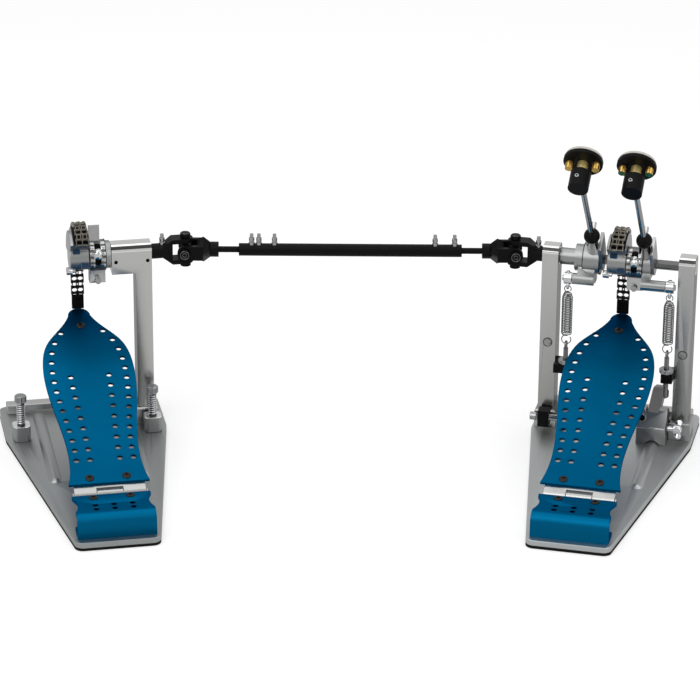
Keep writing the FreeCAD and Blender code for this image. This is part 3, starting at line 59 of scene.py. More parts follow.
Node = bpy.types.Node
Nodes = bpy.types.NodeTree
Socket = bpy.types.NodeSocket
Colour = tuple[float, float, float]
Place = tuple[float, float, float]
Profile = Sequence[tuple[float, float]]


class Side(Enum):
    """The two pedals."""

    MAIN = "main"
    SLAVE = "slave"


class Slot(Enum):
    """The record's material slots."""

    BASE = "base_grey"
    MAT = "mat_black"
    BOARD = "board_blue"
    POST = "post_metal"
    BEARING = "bearing_steel"
    HINGE = "hinge_steel"
    AXLE = "axle_chrome"
    SPRING = "spring_steel"
    CHAIN = "chain_steel"
    CASTING = "casting_grey"
    JOINT = "joint_black"
    SOCKET = "socket_black"
    FELT = "felt_grey"


class Value:
    """A shader socket whose arithmetic adds Math nodes."""

    def __init__(self, net: "Net", socket: Socket) -> None:
        """Wrap a socket of a net."""
        self.net = net
        self.socket = socket

    def _math(self, operation: str, first: Any, second: Any, clamp: bool = False) -> "Value":
        """Return the result of a Math node on two values, held between 0 and 1 on demand."""
        return self.net.value("ShaderNodeMath", {0: first, 1: second}, operation=operation, use_clamp=clamp)

    def __add__(self, other: Any) -> "Value":
        """Add a value."""
        return self._math("ADD", self, other)

    def __radd__(self, other: Any) -> "Value":
        """Add to a value."""
        return self._math("ADD", other, self)

    def __sub__(self, other: Any) -> "Value":
        """Take a value off."""
        return self._math("SUBTRACT", self, other)

    def __rsub__(self, other: Any) -> "Value":
        """Take off a value."""
        return self._math("SUBTRACT", other, self)

    def __mul__(self, other: Any) -> "Value":
        """Multiply by a value."""
        return self._math("MULTIPLY", self, other)

    def __truediv__(self, other: Any) -> "Value":
        """Divide by a value."""
        return self._math("DIVIDE", self, other)

    def held(self) -> "Value":
        """Hold the value between 0 and 1."""
        return self._math("ADD", self, 0.0, clamp=True)

    def ramp(self, span: tuple[float, float]) -> "Value":
        """Return 0 at the start of a span and 1 at its end."""
        return ((self - span[0]) / (span[1] - span[0])).held()


class Tree:
    """A node tree that nodes are added to."""

    def __init__(self, tree: Nodes) -> None:
        """Hold the tree."""
        self.tree = tree

    def add(self, kind: str, sockets: dict[Any, Any] | None = None, **settings: Any) -> Node:
        """Add one node.

        Args:
            kind: The node's type name.
            sockets: Inputs by name or number: values, or what is linked to them.
            settings: Properties set first.

        Returns:
            The new node.
        """
        node = self.tree.nodes.new(kind)
        for name, value in settings.items():
            setattr(node, name, value)
        for key, value in (sockets or {}).items():
            if isinstance(value, Node):
                value = value.outputs[0]
            elif isinstance(value, Value):
                value = value.socket
            if isinstance(value, Socket):
                self.tree.links.new(value, node.inputs[key])
            else:
                node.inputs[key].default_value = value
        return node


class Net(Tree):
    """The node tree of one material or of the world."""

    def __init__(self, tree: Nodes) -> None:
        """Start from an empty tree."""
        super().__init__(tree)
        tree.nodes.clear()

    def value(self, kind: str, sockets: dict[Any, Any], output: int | str = 0, **settings: Any) -> Value:
        """Add one node and return one of its outputs.

        Args:
            kind: The node's type name.
            sockets: Inputs by name or number.
            output: Which output.
            settings: Properties set first.

        Returns:
            The output.
        """
        return Value(self, self.add(kind, sockets, **settings).outputs[output])

    def coordinates(self, scale: Place = (1, 1, 1), turn: float = 0.0) -> Value:
        """Return object coordinates, turned about the upright axis and scaled.

        Args:
            scale: Scale along each turned axis.
            turn: Turn in degrees.

        Returns:
            The mapped coordinates.
        """
        source = self.value("ShaderNodeTexCoord", {}, "Object")
        turned = self.add("ShaderNodeMapping", {"Vector": source, "Rotation": (0, 0, math.radians(turn))})
        return self.value("ShaderNodeMapping", {"Vector": turned, "Scale": scale})

    def noise(self, where: Value, scale: float, detail: float) -> Value:
        """Return a noise from 0 to 1 at coordinates, with a scale and a number of octaves."""
        return self.value("ShaderNodeTexNoise", {"Vector": where, "Scale": scale, "Detail": detail})

    def blend(self, share: Any, first: Any, second: Any) -> Value:
        """Return the mix of two colours, given the share of the second."""
        four = [(*c, 1.0) if isinstance(c, tuple) else c for c in (first, second)]
        return self.value("ShaderNodeMix", {0: share, 6: four[0], 7: four[1]}, 2, data_type="RGBA")

    def bump(self, height: Value, strength: float, distance: float) -> Value:
        """Return a normal raised by a height from 0 to 1, where 1 is a distance in metres."""
        return self.value("ShaderNodeBump", {"Strength": strength, "Distance": distance, "Height": height})

    def surface(self, sockets: dict[str, Any]) -> None:
        """End the material in a Principled shader with these sockets."""
        self.add("ShaderNodeOutputMaterial", {"Surface": self.add("ShaderNodeBsdfPrincipled", sockets)})


def tinted(colour: Colour, share: float) -> Colour:
    """Return a colour made lighter or darker by a share."""
    return tuple(min(max(part * share, 0.0), 1.0) for part in colour)


@dataclass(frozen=True)
class Finish:
    """A finish that becomes one material."""

    name: str

    def paint(self, net: Net) -> None:
        """Build the finish's nodes."""
        raise NotImplementedError

    def material(self) -> bpy.types.Material:
        """Make the finish's material, or find it once it is made.

        Returns:
            The material.
        """
        found = bpy.data.materials.get(self.name)
        if found is None:
            found = bpy.data.materials.new(self.name)
            found.use_nodes = True
            self.paint(Net(found.node_tree))
        return found


@dataclass(frozen=True)
class Grain:
    """The grain of a metal."""

    lines: Place = (900.0, 900.0, 900.0)  # Grain lines per metre along each axis
    spread: float = 0.12  # How far the roughness varies
    relief: float = 0.00004  # Height of the grain in metres
    mottle: float = 0.22  # How far the colour varies


@dataclass(frozen=True)
class MetalFinish(Finish):
    """Bare or plated metal with a fine grain and patches of wear, and in some a painted shade near the floor.
    """

    colour: Colour  # Colour of the metal
    roughness: float  # Mean roughness
    grain: Grain = Grain()  # Its grain
    shade: float = 0.0  # How much painted shade darkens it near the floor

    SHADE_HEIGHT: ClassVar[float] = 0.2  # Height in metres where the painted shade ends

    def paint(self, net: Net) -> None:
        """Build a brushed or cast metal.

        Args:
            net: The material's empty tree.
        """
        fine = net.noise(net.coordinates(self.grain.lines), 1.0, 2.0)
        broad = net.noise(net.coordinates(), 30.0, 4.0)
        tone = (fine * 0.55 + broad * 0.45).held()
        mottle = self.grain.mottle
        colour = net.blend(tone, tinted(self.colour, 1 - mottle), tinted(self.colour, 1 + mottle))
        # Painted shade: the colour grows darker towards the floor.
        if self.shade:
            place = net.value("ShaderNodeTexCoord", {}, "Object")
            height = net.value("ShaderNodeSeparateXYZ", {0: place}, "Z")
            low = (1.0 - height / self.SHADE_HEIGHT).held()
            colour = net.blend(low * self.shade, colour, tinted(self.colour, 0.3))
        spread = self.grain.spread
        rough = (self.roughness + (fine - 0.5) * spread + (broad - 0.5) * spread).held()
        net.surface({"Base Color": colour, "Metallic": 1.0, "Roughness": rough,
                     "Normal": net.bump(fine, 0.5, self.grain.relief)})


@dataclass(frozen=True)
class AnodisedFinish(Finish):
    """Anodised aluminium with a fine blasted grain, its blue lighter in the middle and deeper towards the toe
    as painted reflection and shade.
    """

    deep: Colour  # Colour near the toe, deepened as painted shade
    light: Colour  # Colour of the middle, lightened as a painted reflection
    near: Colour  # Colour near the heel
    yaw: float  # Turn of the pedal in degrees
    heel: tuple[float, float]  # Heel of the pedal in the row, in metres
    rise: tuple[float, float] = (0.08, 0.21)  # Distance over which painted reflection makes the colour lighter, in metres
    run: tuple[float, float] = (0.225, 0.295)  # Distance over which painted shade makes it deeper, in metres

    BRUSH: ClassVar[Place] = (2200.0, 60.0, 400.0)  # Brush lines per metre along each axis
    SCUFFS: ClassVar[Place] = (40.0, 300.0, 60.0)  # Scuffs per metre along each axis
    SHEEN: ClassVar[tuple[float, ...]] = (0.0, 0.3, 0.5, 1.0)  # Tint of what it mirrors at a low angle

    def paint(self, net: Net) -> None:
        """Build the blue oxide over metal, with painted reflection and shade along the pedal.

        Args:
            net: The material's empty tree.
        """
        source = net.value("ShaderNodeTexCoord", {}, "Object")
        away = net.add("ShaderNodeVectorMath", {0: source, 1: (*self.heel, 0.0)}, operation="SUBTRACT")
        turn = math.radians(self.yaw)
        along = net.value("ShaderNodeVectorMath", {0: away, 1: (math.sin(turn), math.cos(turn), 0.0)},
                          "Value", operation="DOT_PRODUCT")
        grain = net.noise(net.coordinates(), 2600.0, 2.0)
        broad = net.noise(net.coordinates(), 22.0, 4.0)
        brush = net.noise(net.coordinates(self.BRUSH, -self.yaw), 1.0, 2.0)
        far = (along.ramp(self.run) + (broad - 0.5) * 0.2).held()
        # Painted reflection and shade: the blue grows lighter towards the middle and deeper towards the toe.
        dye = net.blend(far, net.blend(along.ramp(self.rise), self.near, self.light), self.deep)
        colour = net.blend((grain * 0.2).held(), dye, tinted(self.light, 1.15))
        marks = net.noise(net.coordinates(self.SCUFFS, 8.0 - self.yaw), 1.0, 6.0)
        scuffs = ((marks - 0.62) * 6.0).held()
        rough = (0.44 + (broad - 0.5) * 0.14 + (brush - 0.5) * 0.1 + scuffs * 0.12).held()
        net.surface({"Base Color": colour, "Metallic": 1.0, "Roughness": rough, "Specular Tint": self.SHEEN,
                     "Normal": net.bump(grain * 0.6 + brush * 0.4, 0.35, 0.00003)})


@dataclass(frozen=True)
class PlasticFinish(Finish):
    """Moulded plastic, rubber or black coating with a fine texture."""

    colour: Colour  # Colour
    roughness: float  # Mean roughness
    texture: float  # Bumps per metre
    relief: float  # Height of the texture in metres
    gloss: float  # How strongly it mirrors

    def paint(self, net: Net) -> None:
        """Build the moulded surface, dusty in places.

        Args:
            net: The material's empty tree.
        """
        fine = net.noise(net.coordinates(), self.texture, 3.0)
        broad = net.noise(net.coordinates(), 45.0, 4.0)
        dust = ((broad - 0.45) * 1.6).held() * 0.35
        colour = net.blend((dust + (fine - 0.5) * 0.2).held(), self.colour, tinted(self.colour, 2.2))
        rough = (self.roughness + (broad - 0.5) * 0.2 + (fine - 0.5) * 0.1).held()
        net.surface({"Base Color": colour, "Specular IOR Level": self.gloss, "Roughness": rough,
                     "Normal": net.bump(fine, 0.45, self.relief)})


@dataclass(frozen=True)
class FeltFinish(Finish):
    """Pressed wool felt."""

    colour: Colour  # Colour of the wool
    shadow: Colour  # Colour between the fibres

    def paint(self, net: Net) -> None:
        """Build matted fibres in two directions.

        Args:
            net: The material's empty tree.
        """
        first = net.noise(net.coordinates((2600.0, 500.0, 900.0), 20.0), 1.0, 4.0)
        second = net.noise(net.coordinates((500.0, 2400.0, 800.0), -35.0), 1.0, 4.0)
        clumps = net.noise(net.coordinates(), 260.0, 4.0)
        fibres = (first * 0.4 + second * 0.35 + clumps * 0.25).held()
        colour = net.blend(((fibres - 0.3) * 2.2).held(), self.shadow, self.colour)
        net.surface({"Base Color": colour, "Roughness": (0.86 + (fibres - 0.5) * 0.2).held(),
                     "Sheen Weight": 0.5, "Sheen Roughness": 0.5, "Specular IOR Level": 0.2,
                     "Normal": net.bump(fibres, 0.8, 0.0004)})


YAW = {Side.MAIN: 13.0, Side.SLAVE: -11.0}
HEEL = {Side.MAIN: (223.2, -165.85), Side.SLAVE: (-233.8, -164.03)}


def even(lines: float, spread: float, relief: float, mottle: float) -> Grain:
    """Return a grain that is as fine along each axis."""
    return Grain((lines, lines, lines), spread, relief, mottle)


PLATE_GRAIN = even(500.0, 0.08, 0.00003, 0.08)
POST_LINES = (420.0, 420.0, 10.0)
POST_GRAIN = Grain(POST_LINES, 0.05, 0.000004, 0.04)
CAST_GRAIN = even(700.0, 0.1, 0.00003, 0.1)
BRASS_GRAIN = even(700.0, 0.1, 0.00002, 0.2)
# The second pedal's base plate is a darker copy of the same metal: painted shade.
BASE_METAL = {Side.MAIN: MetalFinish("satin_base_metal", (0.51, 0.53, 0.53), 0.40, PLATE_GRAIN),
              Side.SLAVE: MetalFinish("satin_base_dim", (0.37, 0.385, 0.385), 0.40, PLATE_GRAIN)}
BRIDGE_METAL = MetalFinish("satin_bridge", (0.50, 0.51, 0.50), 0.40, PLATE_GRAIN)
# Painted highlight on the tops of the bar's lugs.
LUG_HIGHLIGHT = MetalFinish("bright_base_edge", (0.80, 0.82, 0.82), 0.22)
# The posts' metals: the main posts darken towards the floor as painted shade, the right post's copy is darker
# still as painted shade, and the second pedal's post has a slightly lighter copy as painted light.
POST_METAL = MetalFinish("brushed_post", (0.56, 0.56, 0.545), 0.24, POST_GRAIN, 0.5)
POST_LIT = MetalFinish("brushed_post_pale", (0.57, 0.57, 0.555), 0.24, POST_GRAIN)
POST_SHADED = MetalFinish("brushed_post_dim", (0.48, 0.485, 0.475), 0.26, POST_GRAIN, 0.4)
# Bright polished metal, which on the posts' rounded tops is a painted highlight.
POLISH_AND_HIGHLIGHT = MetalFinish("polished_post_edge", (0.86, 0.86, 0.85), 0.10,
                        Grain((200.0, 200.0, 40.0), 0.05, 0.000004, 0.04))
# Painted shade: the dark line under the bright top of each post.
POST_LINE = MetalFinish("post_dark_line", (0.06, 0.06, 0.06), 0.3)
# Painted shade on the posts' side faces.
POST_SIDE_SHADE = MetalFinish("post_dark_side", (0.08, 0.08, 0.077), 0.3, Grain(POST_LINES, 0.05, 0.000004, 0.08))
INLAY = MetalFinish("post_inlay", (0.38, 0.38, 0.37), 0.3)
CASTING = MetalFinish("cast_grey", (0.34, 0.345, 0.345), 0.34, CAST_GRAIN)
# Painted highlight along the clamp's knee.
CAST_HIGHLIGHT = MetalFinish("cast_edge", (0.78, 0.79, 0.78), 0.2)
MID_CASTING = MetalFinish("cast_mid", (0.17, 0.172, 0.172), 0.3, CAST_GRAIN)
RIDGE_METAL = MetalFinish("cast_ridge", (0.50, 0.505, 0.50), 0.2, even(700.0, 0.08, 0.00002, 0.08))
DARK_CASTING = MetalFinish("cast_dark", (0.10, 0.10, 0.10), 0.34, even(700.0, 0.1, 0.00003, 0.14))
CHROME = MetalFinish("chrome", (0.66, 0.67, 0.68), 0.08, even(500.0, 0.05, 0.000006, 0.06))
DULL_CHROME = MetalFinish("dull_chrome", (0.36, 0.365, 0.37), 0.16, even(500.0, 0.06, 0.000008, 0.1))
HINGE_METAL = MetalFinish("brushed_hinge", (0.46, 0.465, 0.455), 0.24,
                          Grain((200.0, 1500.0, 1500.0), 0.1, 0.00002, 0.12))
AXLE_METAL = MetalFinish("axle_steel", (0.13, 0.132, 0.13), 0.14,
                         Grain((1600.0, 120.0, 120.0), 0.08, 0.00002, 0.12))
SPRING_METAL = MetalFinish("spring_wire", (0.22, 0.225, 0.225), 0.22, even(900.0, 0.1, 0.00002, 0.14))
LINK_METAL = MetalFinish("chain_nickel", (0.145, 0.134, 0.112), 0.22, even(1200.0, 0.14, 0.00003, 0.3))
# The hanging run of the chain is drawn darker than its links on the wheel.
LINK_DARKER = MetalFinish("chain_blackened", (0.020, 0.019, 0.018), 0.34, even(1200.0, 0.12, 0.00003, 0.3))
BLACK_METAL = PlasticFinish("black_coated_steel", (0.004, 0.004, 0.004), 0.34, 2200.0, 0.00003, 0.09)
BLACK_PLASTIC = PlasticFinish("black_moulding", (0.003, 0.003, 0.003), 0.40, 1700.0, 0.00005, 0.10)
RUBBER = PlasticFinish("mat_rubber", (0.008, 0.008, 0.008), 0.78, 1200.0, 0.00025, 0.1)
STRAP_WEAVE = PlasticFinish("strap_weave", (0.004, 0.004, 0.004), 0.7, 2600.0, 0.0002, 0.06)
DARK_SCREW = MetalFinish("dark_screw", (0.03, 0.028, 0.026), 0.38)
# Painted shade in the mouths of the footboards' and heel plates' holes.
RIM_SHADE = MetalFinish("dark_blue_rim", (0.002, 0.016, 0.05), 0.34)
BRASS = MetalFinish("brass", (0.60, 0.38, 0.10), 0.2, BRASS_GRAIN)
# Painted highlight on the brass of the beaters' necks.
BRASS_LIT = MetalFinish("brass_neck", (1.0, 0.74, 0.30), 0.46, BRASS_GRAIN)
WHITE_FELT = FeltFinish("beater_felt", (0.78, 0.76, 0.71), (0.46, 0.44, 0.40))
BLUE_FELT = FeltFinish("blue_felt", (0.004, 0.06, 0.15), (0.001, 0.02, 0.06))
# Blues at the toe, the middle and the heel: the changes along each pedal are painted reflection and shade,
# and the heel plates' lighter copy is painted light.
BOARD_PAINTED_TONES = ((0.0002, 0.016, 0.050), (0.0007, 0.120, 0.260), (0.0005, 0.084, 0.184))
HEEL_PAINTED_TONES = ((0.0006, 0.112, 0.240), (0.0010, 0.118, 0.250), (0.0010, 0.118, 0.250))


def blues(name: str, dye: tuple[Colour, Colour, Colour]) -> dict[Side, AnodisedFinish]:
    """Return a blue finish for each pedal.

    Args:
        name: Start of the finishes' names.
        dye: Colours near the toe, in the middle and near the heel.

    Returns:
        The finishes.
    """
    return {side: AnodisedFinish(name + side.value, *dye, YAW[side], (HEEL[side][0] * MM, HEEL[side][1] * MM))
            for side in Side}


BLUE = blues("blue_anodised_", BOARD_PAINTED_TONES)
BLUE_HEEL_LIT = blues("blue_heel_", HEEL_PAINTED_TONES)


def at(u: float, v: float, w: float) -> Matrix:
    """Return a shift in millimetres."""
    return Matrix.Translation((u, v, w))


def turned(axis: str, degrees: float) -> Matrix:
    """Return a turn about an axis."""
    return Matrix.Rotation(math.radians(degrees), 4, axis)


TO_PLAYER = turned("X", 90.0)
ALONG_U = turned("Y", 90.0)


@dataclass(frozen=True)
class PedalPlaces:
    """The frames of one pedal, as the CAD has them, with lengths in millimetres."""

    side: Side  # Which pedal
    axle_spot: tuple[float, float] = (280.0, 204.5)  # Distance from the heel and height of the axle
    hinge_spot: tuple[float, float] = (57.0, 30.5)  # Distance from the heel and height of the hinge line
    board_angle: float = 19.2  # Slope of the footboard in degrees
    beater_lean: float = 33.0  # Lean of the beaters in degrees
    beater_tilt: float = 3.0  # Turn of the beaters to the left about their sockets, in degrees
    socket_reach: float = 41.2  # Distance of a socket's ball from the axle
    joint_u: float = 113.0  # Distance of the universal joint from the pedal's middle

    def pedal(self) -> Matrix:
        """Return the pedal's frame, from millimetres to the row's metres."""
        return Matrix.Scale(MM, 4) @ at(*HEEL[self.side], 0.0) @ turned("Z", -YAW[self.side])

    def axle(self) -> Matrix:
        """Return the frame at the middle of the axle."""
        return self.pedal() @ at(0.0, *self.axle_spot)

    def board(self) -> Matrix:
        """Return the frame of the footboard from its hinge line."""
        return self.pedal() @ at(0.0, *self.hinge_spot) @ turned("X", self.board_angle)

    def beater(self, u: float) -> Matrix:
        """Return the frame of a beater's socket at a station of the axle."""
        return self.axle() @ at(u, 0.0, 0.0) @ turned("X", self.beater_lean)

    def tilted(self, u: float) -> Matrix:
        """Return the frame of a beater's shaft, turned about the ball of its socket."""
        ball = at(0.0, 0.0, self.socket_reach)
        return self.beater(u) @ ball @ turned("Y", -self.beater_tilt) @ ball.inverted()


MAIN = PedalPlaces(Side.MAIN)
SLAVE = PedalPlaces(Side.SLAVE)
PLACES = {Side.MAIN: MAIN, Side.SLAVE: SLAVE}


def shaft_place() -> Matrix:
    """Find the place midway between the two universal joints.

    Returns:
        The frame there, along the row.
    """
    right = MAIN.axle() @ Vector((-MAIN.joint_u, 0.0, 0.0))
    left = SLAVE.axle() @ Vector((SLAVE.joint_u, 0.0, 0.0))
    return Matrix.Translation((right + left) / 2) @ Matrix.Scale(MM, 4)


def lathe(profile: Profile, sides: int = 32) -> Mesh:
    """Turn a profile about the upright axis.

    Args:
        profile: Radius and height pairs, ending on the axis or open.
        sides: Faces round the axis.

    Returns:
        The turned mesh.
    """
    bm = bmesh.new()
    turn = [2 * math.pi * i / sides for i in range(sides)]
    rings = []
    for radius, height in profile:
        angles = turn if radius else [0.0]
        rings.append([bm.verts.new((radius * math.cos(a), radius * math.sin(a), height)) for a in angles])
    for low, high in zip(rings, rings[1:]):
        for i in range(sides):
            j = i + 1
            loop = [low[i % len(low)], low[j % len(low)], high[j % len(high)], high[i % len(high)]]
            unique = list(dict.fromkeys(loop))
            if len(unique) > 2:
                bm.faces.new(unique)
    return bm


def rounded_block(size: Place, corner: float, segments: int = 3) -> Mesh:
    """Make a block about the origin with rounded edges.

    Args:
        size: Full size along each axis.
        corner: Radius of its edges.
        segments: Faces across each rounded edge.

    Returns:
        The block.
    """
    bm = bmesh.new()
    bmesh.ops.create_cube(bm, size=1.0)
    bmesh.ops.scale(bm, vec=size, verts=bm.verts)
    bmesh.ops.bevel(bm, geom=bm.edges[:], offset=corner, segments=segments, profile=0.5, affect="EDGES")
    return bm


def slab(outline: Profile, thickness: float) -> Mesh:
    """Make a flat plate about the middle plane.

    Args:
        outline: Corners in the plane.
        thickness: Thickness along the third axis.

    Returns:
        The plate.
    """
    bm = bmesh.new()
    low = [bm.verts.new((x, y, -thickness / 2)) for x, y in outline]
    high = [bm.verts.new((x, y, thickness / 2)) for x, y in outline]
    bm.faces.new(list(reversed(low)))
    bm.faces.new(high)
    for i in range(len(outline)):
        j = (i + 1) % len(outline)
        bm.faces.new((low[i], low[j], high[j], high[i]))
    return bm


def joined(*parts: tuple[Mesh, Matrix]) -> Mesh:
    """Put several meshes into one.

    Args:
        parts: Meshes, freed here, and their places.

    Returns:
        The joined mesh.
    """
    whole = bmesh.new()
    for part, place in parts:
        mesh = bpy.data.meshes.new("joining")
        part.to_mesh(mesh)
        part.free()
        mesh.transform(place)
        whole.from_mesh(mesh)
        bpy.data.meshes.remove(mesh)
    return whole


def hold(name: str, bm: Mesh, place: Matrix = Matrix()) -> Thing:
    """Make an object from a mesh.

    Args:
        name: The object's name.
        bm: Its mesh, freed here.
        place: Where the mesh goes.

    Returns:
        The object, at the origin.
    """
    bmesh.ops.recalc_face_normals(bm, faces=bm.faces)
    mesh = bpy.data.meshes.new(name)
    bm.to_mesh(mesh)
    bm.free()
    mesh.transform(place)
    thing = bpy.data.objects.new(name, mesh)
    bpy.context.scene.collection.objects.link(thing)
    return thing


# Edges sharper than these stay sharp, in degrees.
PIECE_ANGLE = 32.0
STOCK_ANGLE = 35.0
DRESS_ANGLE = 24.0
FELT_ANGLE = 70.0


def smoothed(thing: Thing, angle: float) -> Thing:
    """Shade an object smooth, but for its sharp edges.

    Args:
        thing: The object.
        angle: Edges sharper than this stay sharp, in degrees.

    Returns:
        The same object.
    """
    mesh = thing.data
    mesh.polygons.foreach_set("use_smooth", [True] * len(mesh.polygons))
    mesh.set_sharp_from_angle(angle=math.radians(angle))
    return thing


def settled(thing: Thing) -> Thing:
    """Turn an object's modifiers into plain mesh.

    Args:
        thing: The object with modifiers.

    Returns:
        The same object, with none left.
    """
    graph = bpy.context.evaluated_depsgraph_get()
    graph.update()
    mesh = bpy.data.meshes.new_from_object(thing.evaluated_get(graph))
    thing.modifiers.clear()
    old = thing.data
    thing.data = mesh
    mesh.name = thing.name
    if old.users == 0:
        bpy.data.meshes.remove(old)
    return thing


def listed(thing: Thing, replaced: Iterable[str], body: str) -> Thing:
    """Hide the CAD nodes that a piece stands for, and log it.

    Args:
        thing: The piece.
        replaced: CAD nodes that it stands for.
        body: Body or bodies, for the log.

    Returns:
        The piece.
    """
    nodes = list(replaced)
    if nodes:
        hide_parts(*nodes)
    LOG.info("%s on %s: %d faces", thing.name, body, len(thing.data.polygons))
    return thing


def seat(thing: Thing, body: str, slot: Slot, replaced: Iterable[str] = ()) -> Thing:
    """Let a finished piece ride on a body, and list it."""
    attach(thing, body)
    return listed(thing, replaced, body)


@dataclass(frozen=True)
class Fit:
    """What a piece rides on and how it is finished."""

    body: str  # The body that it rides on
    finish: Finish  # Its finish
    slot: Slot  # The record's material slot


def piece(name: str, bm: Mesh, place: Matrix, fit: Fit, replaced: Iterable[str] = ()) -> Thing:
    """Make a finished piece from a mesh in millimetres.

    Args:
        name: The piece's name.
        bm: Its mesh.
        place: Its frame in the row.
        fit: Its body, finish and slot.
        replaced: CAD nodes that it stands for.

    Returns:
        The piece.
    """
    thing = smoothed(hold(name, bm, place), PIECE_ANGLE)
    thing.data.materials.append(fit.finish.material())
    return seat(thing, fit.body, fit.slot, replaced)


class GeoTree(Tree):
    """A Geometry Nodes tree with named inputs, the last of which is its finish."""

    def __init__(self, name: str, inputs: dict[str, str]) -> None:
        """Start a tree that takes and gives geometry.

        Args:
            name: The tree's name.
            inputs: Names of its other inputs, each with its kind.
        """
        super().__init__(bpy.data.node_groups.new(name, "GeometryNodeTree"))
        for way in ("INPUT", "OUTPUT"):
            self.tree.interface.new_socket("Geometry", in_out=way, socket_type="NodeSocketGeometry")
        for key, kind in {**inputs, "Finish": "Material"}.items():
            self.tree.interface.new_socket(key, in_out="INPUT", socket_type="NodeSocket" + kind)
        self.start = self.tree.nodes.new("NodeGroupInput")

    def given(self, name: str) -> Socket:
        """Return the socket of an input."""
        return self.start.outputs[name]

    def shape(self, name: str) -> Socket:
        """Return the geometry of an object input."""
        return self.add("GeometryNodeObjectInfo", {"Object": self.given(name)}).outputs["Geometry"]

    def line(self) -> Node:
        """Return the given line as a curve."""
        return self.add("GeometryNodeMeshToCurve", {"Mesh": self.given("Geometry")})

    def close(self, geometry: Node) -> "GeoTree":
        """End the tree in Realize Instances and Set Material.

        Args:
            geometry: The node that made the geometry.

        Returns:
            The tree.
        """
        real = self.add("GeometryNodeRealizeInstances", {"Geometry": geometry})
        dressed = self.add("GeometryNodeSetMaterial", {"Geometry": real, "Material": self.given("Finish")})
        self.add("NodeGroupOutput", {0: dressed})
        return self

    def run(self, name: str, points: Sequence[Place], place: Matrix, finish: Finish, values: dict[str, Any],
            line: bool = False) -> Thing:
        """Run the tree on points or a line and keep the plain mesh.

        Args:
            name: Name of the new object.
            points: Points in millimetres.
            place: Their frame in the row.
            finish: Its finish.
            values: Other inputs by name; a mesh becomes a small object that is removed afterwards.
            line: Whether the points are joined to a line.

        Returns:
            The object, at the origin.
        """
        mesh = bpy.data.meshes.new(name)
        edges = [(i, i + 1) for i in range(len(points) - 1)] if line else []
        mesh.from_pydata([tuple(p) for p in points], edges, [])
        thing = bpy.data.objects.new(name, mesh)
        modifier = thing.modifiers.new("made", "NODES")
        modifier.node_group = self.tree
        keys = {s.name: s.identifier for s in self.tree.interface.items_tree if s.in_out == "INPUT"}
        stock = []
        for key, value in {**values, "Finish": finish.material()}.items():
            if isinstance(value, Mesh):
                value = smoothed(hold("stock", value), STOCK_ANGLE)
                bpy.context.scene.collection.objects.unlink(value)
                stock.append(value)
            modifier[keys[key]] = value
        bpy.context.scene.collection.objects.link(thing)
        settled(thing)
        thing.data.transform(place)
        for part in stock:
            bpy.data.meshes.remove(part.data)
        return thing

    def piece(self, name: str, points: Sequence[Place], place: Matrix, fit: Fit, values: dict[str, Any],
              line: bool = False) -> Thing:
        """Run the tree and let the result ride on a body.

        Args:
            name: The piece's name.
            points: Points in millimetres.
            place: Their frame in the row.
            fit: Its body, finish and slot.
            values: Other inputs by name.
            line: Whether the points are joined to a line.

        Returns:
            The piece.
        """
        return seat(self.run(name, points, place, fit.finish, values, line), fit.body, fit.slot)


def link_tree() -> GeoTree:
    """Make a tree that lays two kinds of link by turns along a line in the upright plane.

    Returns:
        The tree.
    """
    made = GeoTree("Chain links", {"Outer": "Object", "Inner": "Object", "Pitch": "Float"})
    spread = made.add("GeometryNodeCurveToPoints", {"Curve": made.line(), "Length": made.given("Pitch")},
                      mode="LENGTH")
    along = made.add("FunctionNodeAlignRotationToVector", {"Vector": spread.outputs["Tangent"]},
                     axis="Z", pivot_axis="X")
    index = made.add("GeometryNodeInputIndex")
    odd = made.add("ShaderNodeMath", {0: index, 1: 2.0}, operation="MODULO")
    other = made.add("ShaderNodeMath", {0: 1.0, 1: odd}, operation="SUBTRACT")
    both = made.add("GeometryNodeJoinGeometry")
    for link, chosen in (("Outer", other), ("Inner", odd)):
        laid = made.add("GeometryNodeInstanceOnPoints",
                        {"Points": spread.outputs["Points"], "Selection": chosen,
                         "Instance": made.shape(link), "Rotation": along})
        made.tree.links.new(laid.outputs[0], both.inputs[0])
    return made.close(both)


def wire_tree() -> GeoTree:
    """Make a tree that sweeps a round wire along a line.

    Returns:
        The tree.
    """
    made = GeoTree("Wire along a line", {"Radius": "Float", "Sides": "Int"})
    section = made.add("GeometryNodeCurvePrimitiveCircle",
                       {"Resolution": made.given("Sides"), "Radius": made.given("Radius")})
    swept = made.add("GeometryNodeCurveToMesh",
                     {"Curve": made.line(), "Profile Curve": section, "Fill Caps": True})
    return made.close(made.add("GeometryNodeSetShadeSmooth", {"Geometry": swept}))


def scatter_tree() -> GeoTree:
    """Make a tree that sets one part on every point.

    Returns:
        The tree.
    """
    made = GeoTree("Part on every point", {"Part": "Object", "Scale": "Float"})
    laid = made.add("GeometryNodeInstanceOnPoints",
                    {"Points": made.given("Geometry"), "Instance": made.shape("Part")})
    scale = made.given("Scale")
    spread = made.add("ShaderNodeCombineXYZ", {0: scale, 1: scale, 2: scale})
    return made.close(made.add("GeometryNodeScaleInstances", {"Instances": laid, "Scale": spread}))


def round_tree() -> GeoTree:
    """Make a tree that sets one part all round an axis, facing outwards.

    Returns:
        The tree.
    """
    made = GeoTree("Part round an axis", {"Part": "Object", "Count": "Int", "Radius": "Float"})
    circle = made.add("GeometryNodeMeshCircle",
                      {"Vertices": made.given("Count"), "Radius": made.given("Radius")})
    place = made.add("GeometryNodeInputPosition")
    outwards = made.add("FunctionNodeAlignRotationToVector", {"Vector": place}, axis="X", pivot_axis="Z")
    return made.close(made.add("GeometryNodeInstanceOnPoints", {
        "Points": circle, "Instance": made.shape("Part"), "Rotation": outwards}))


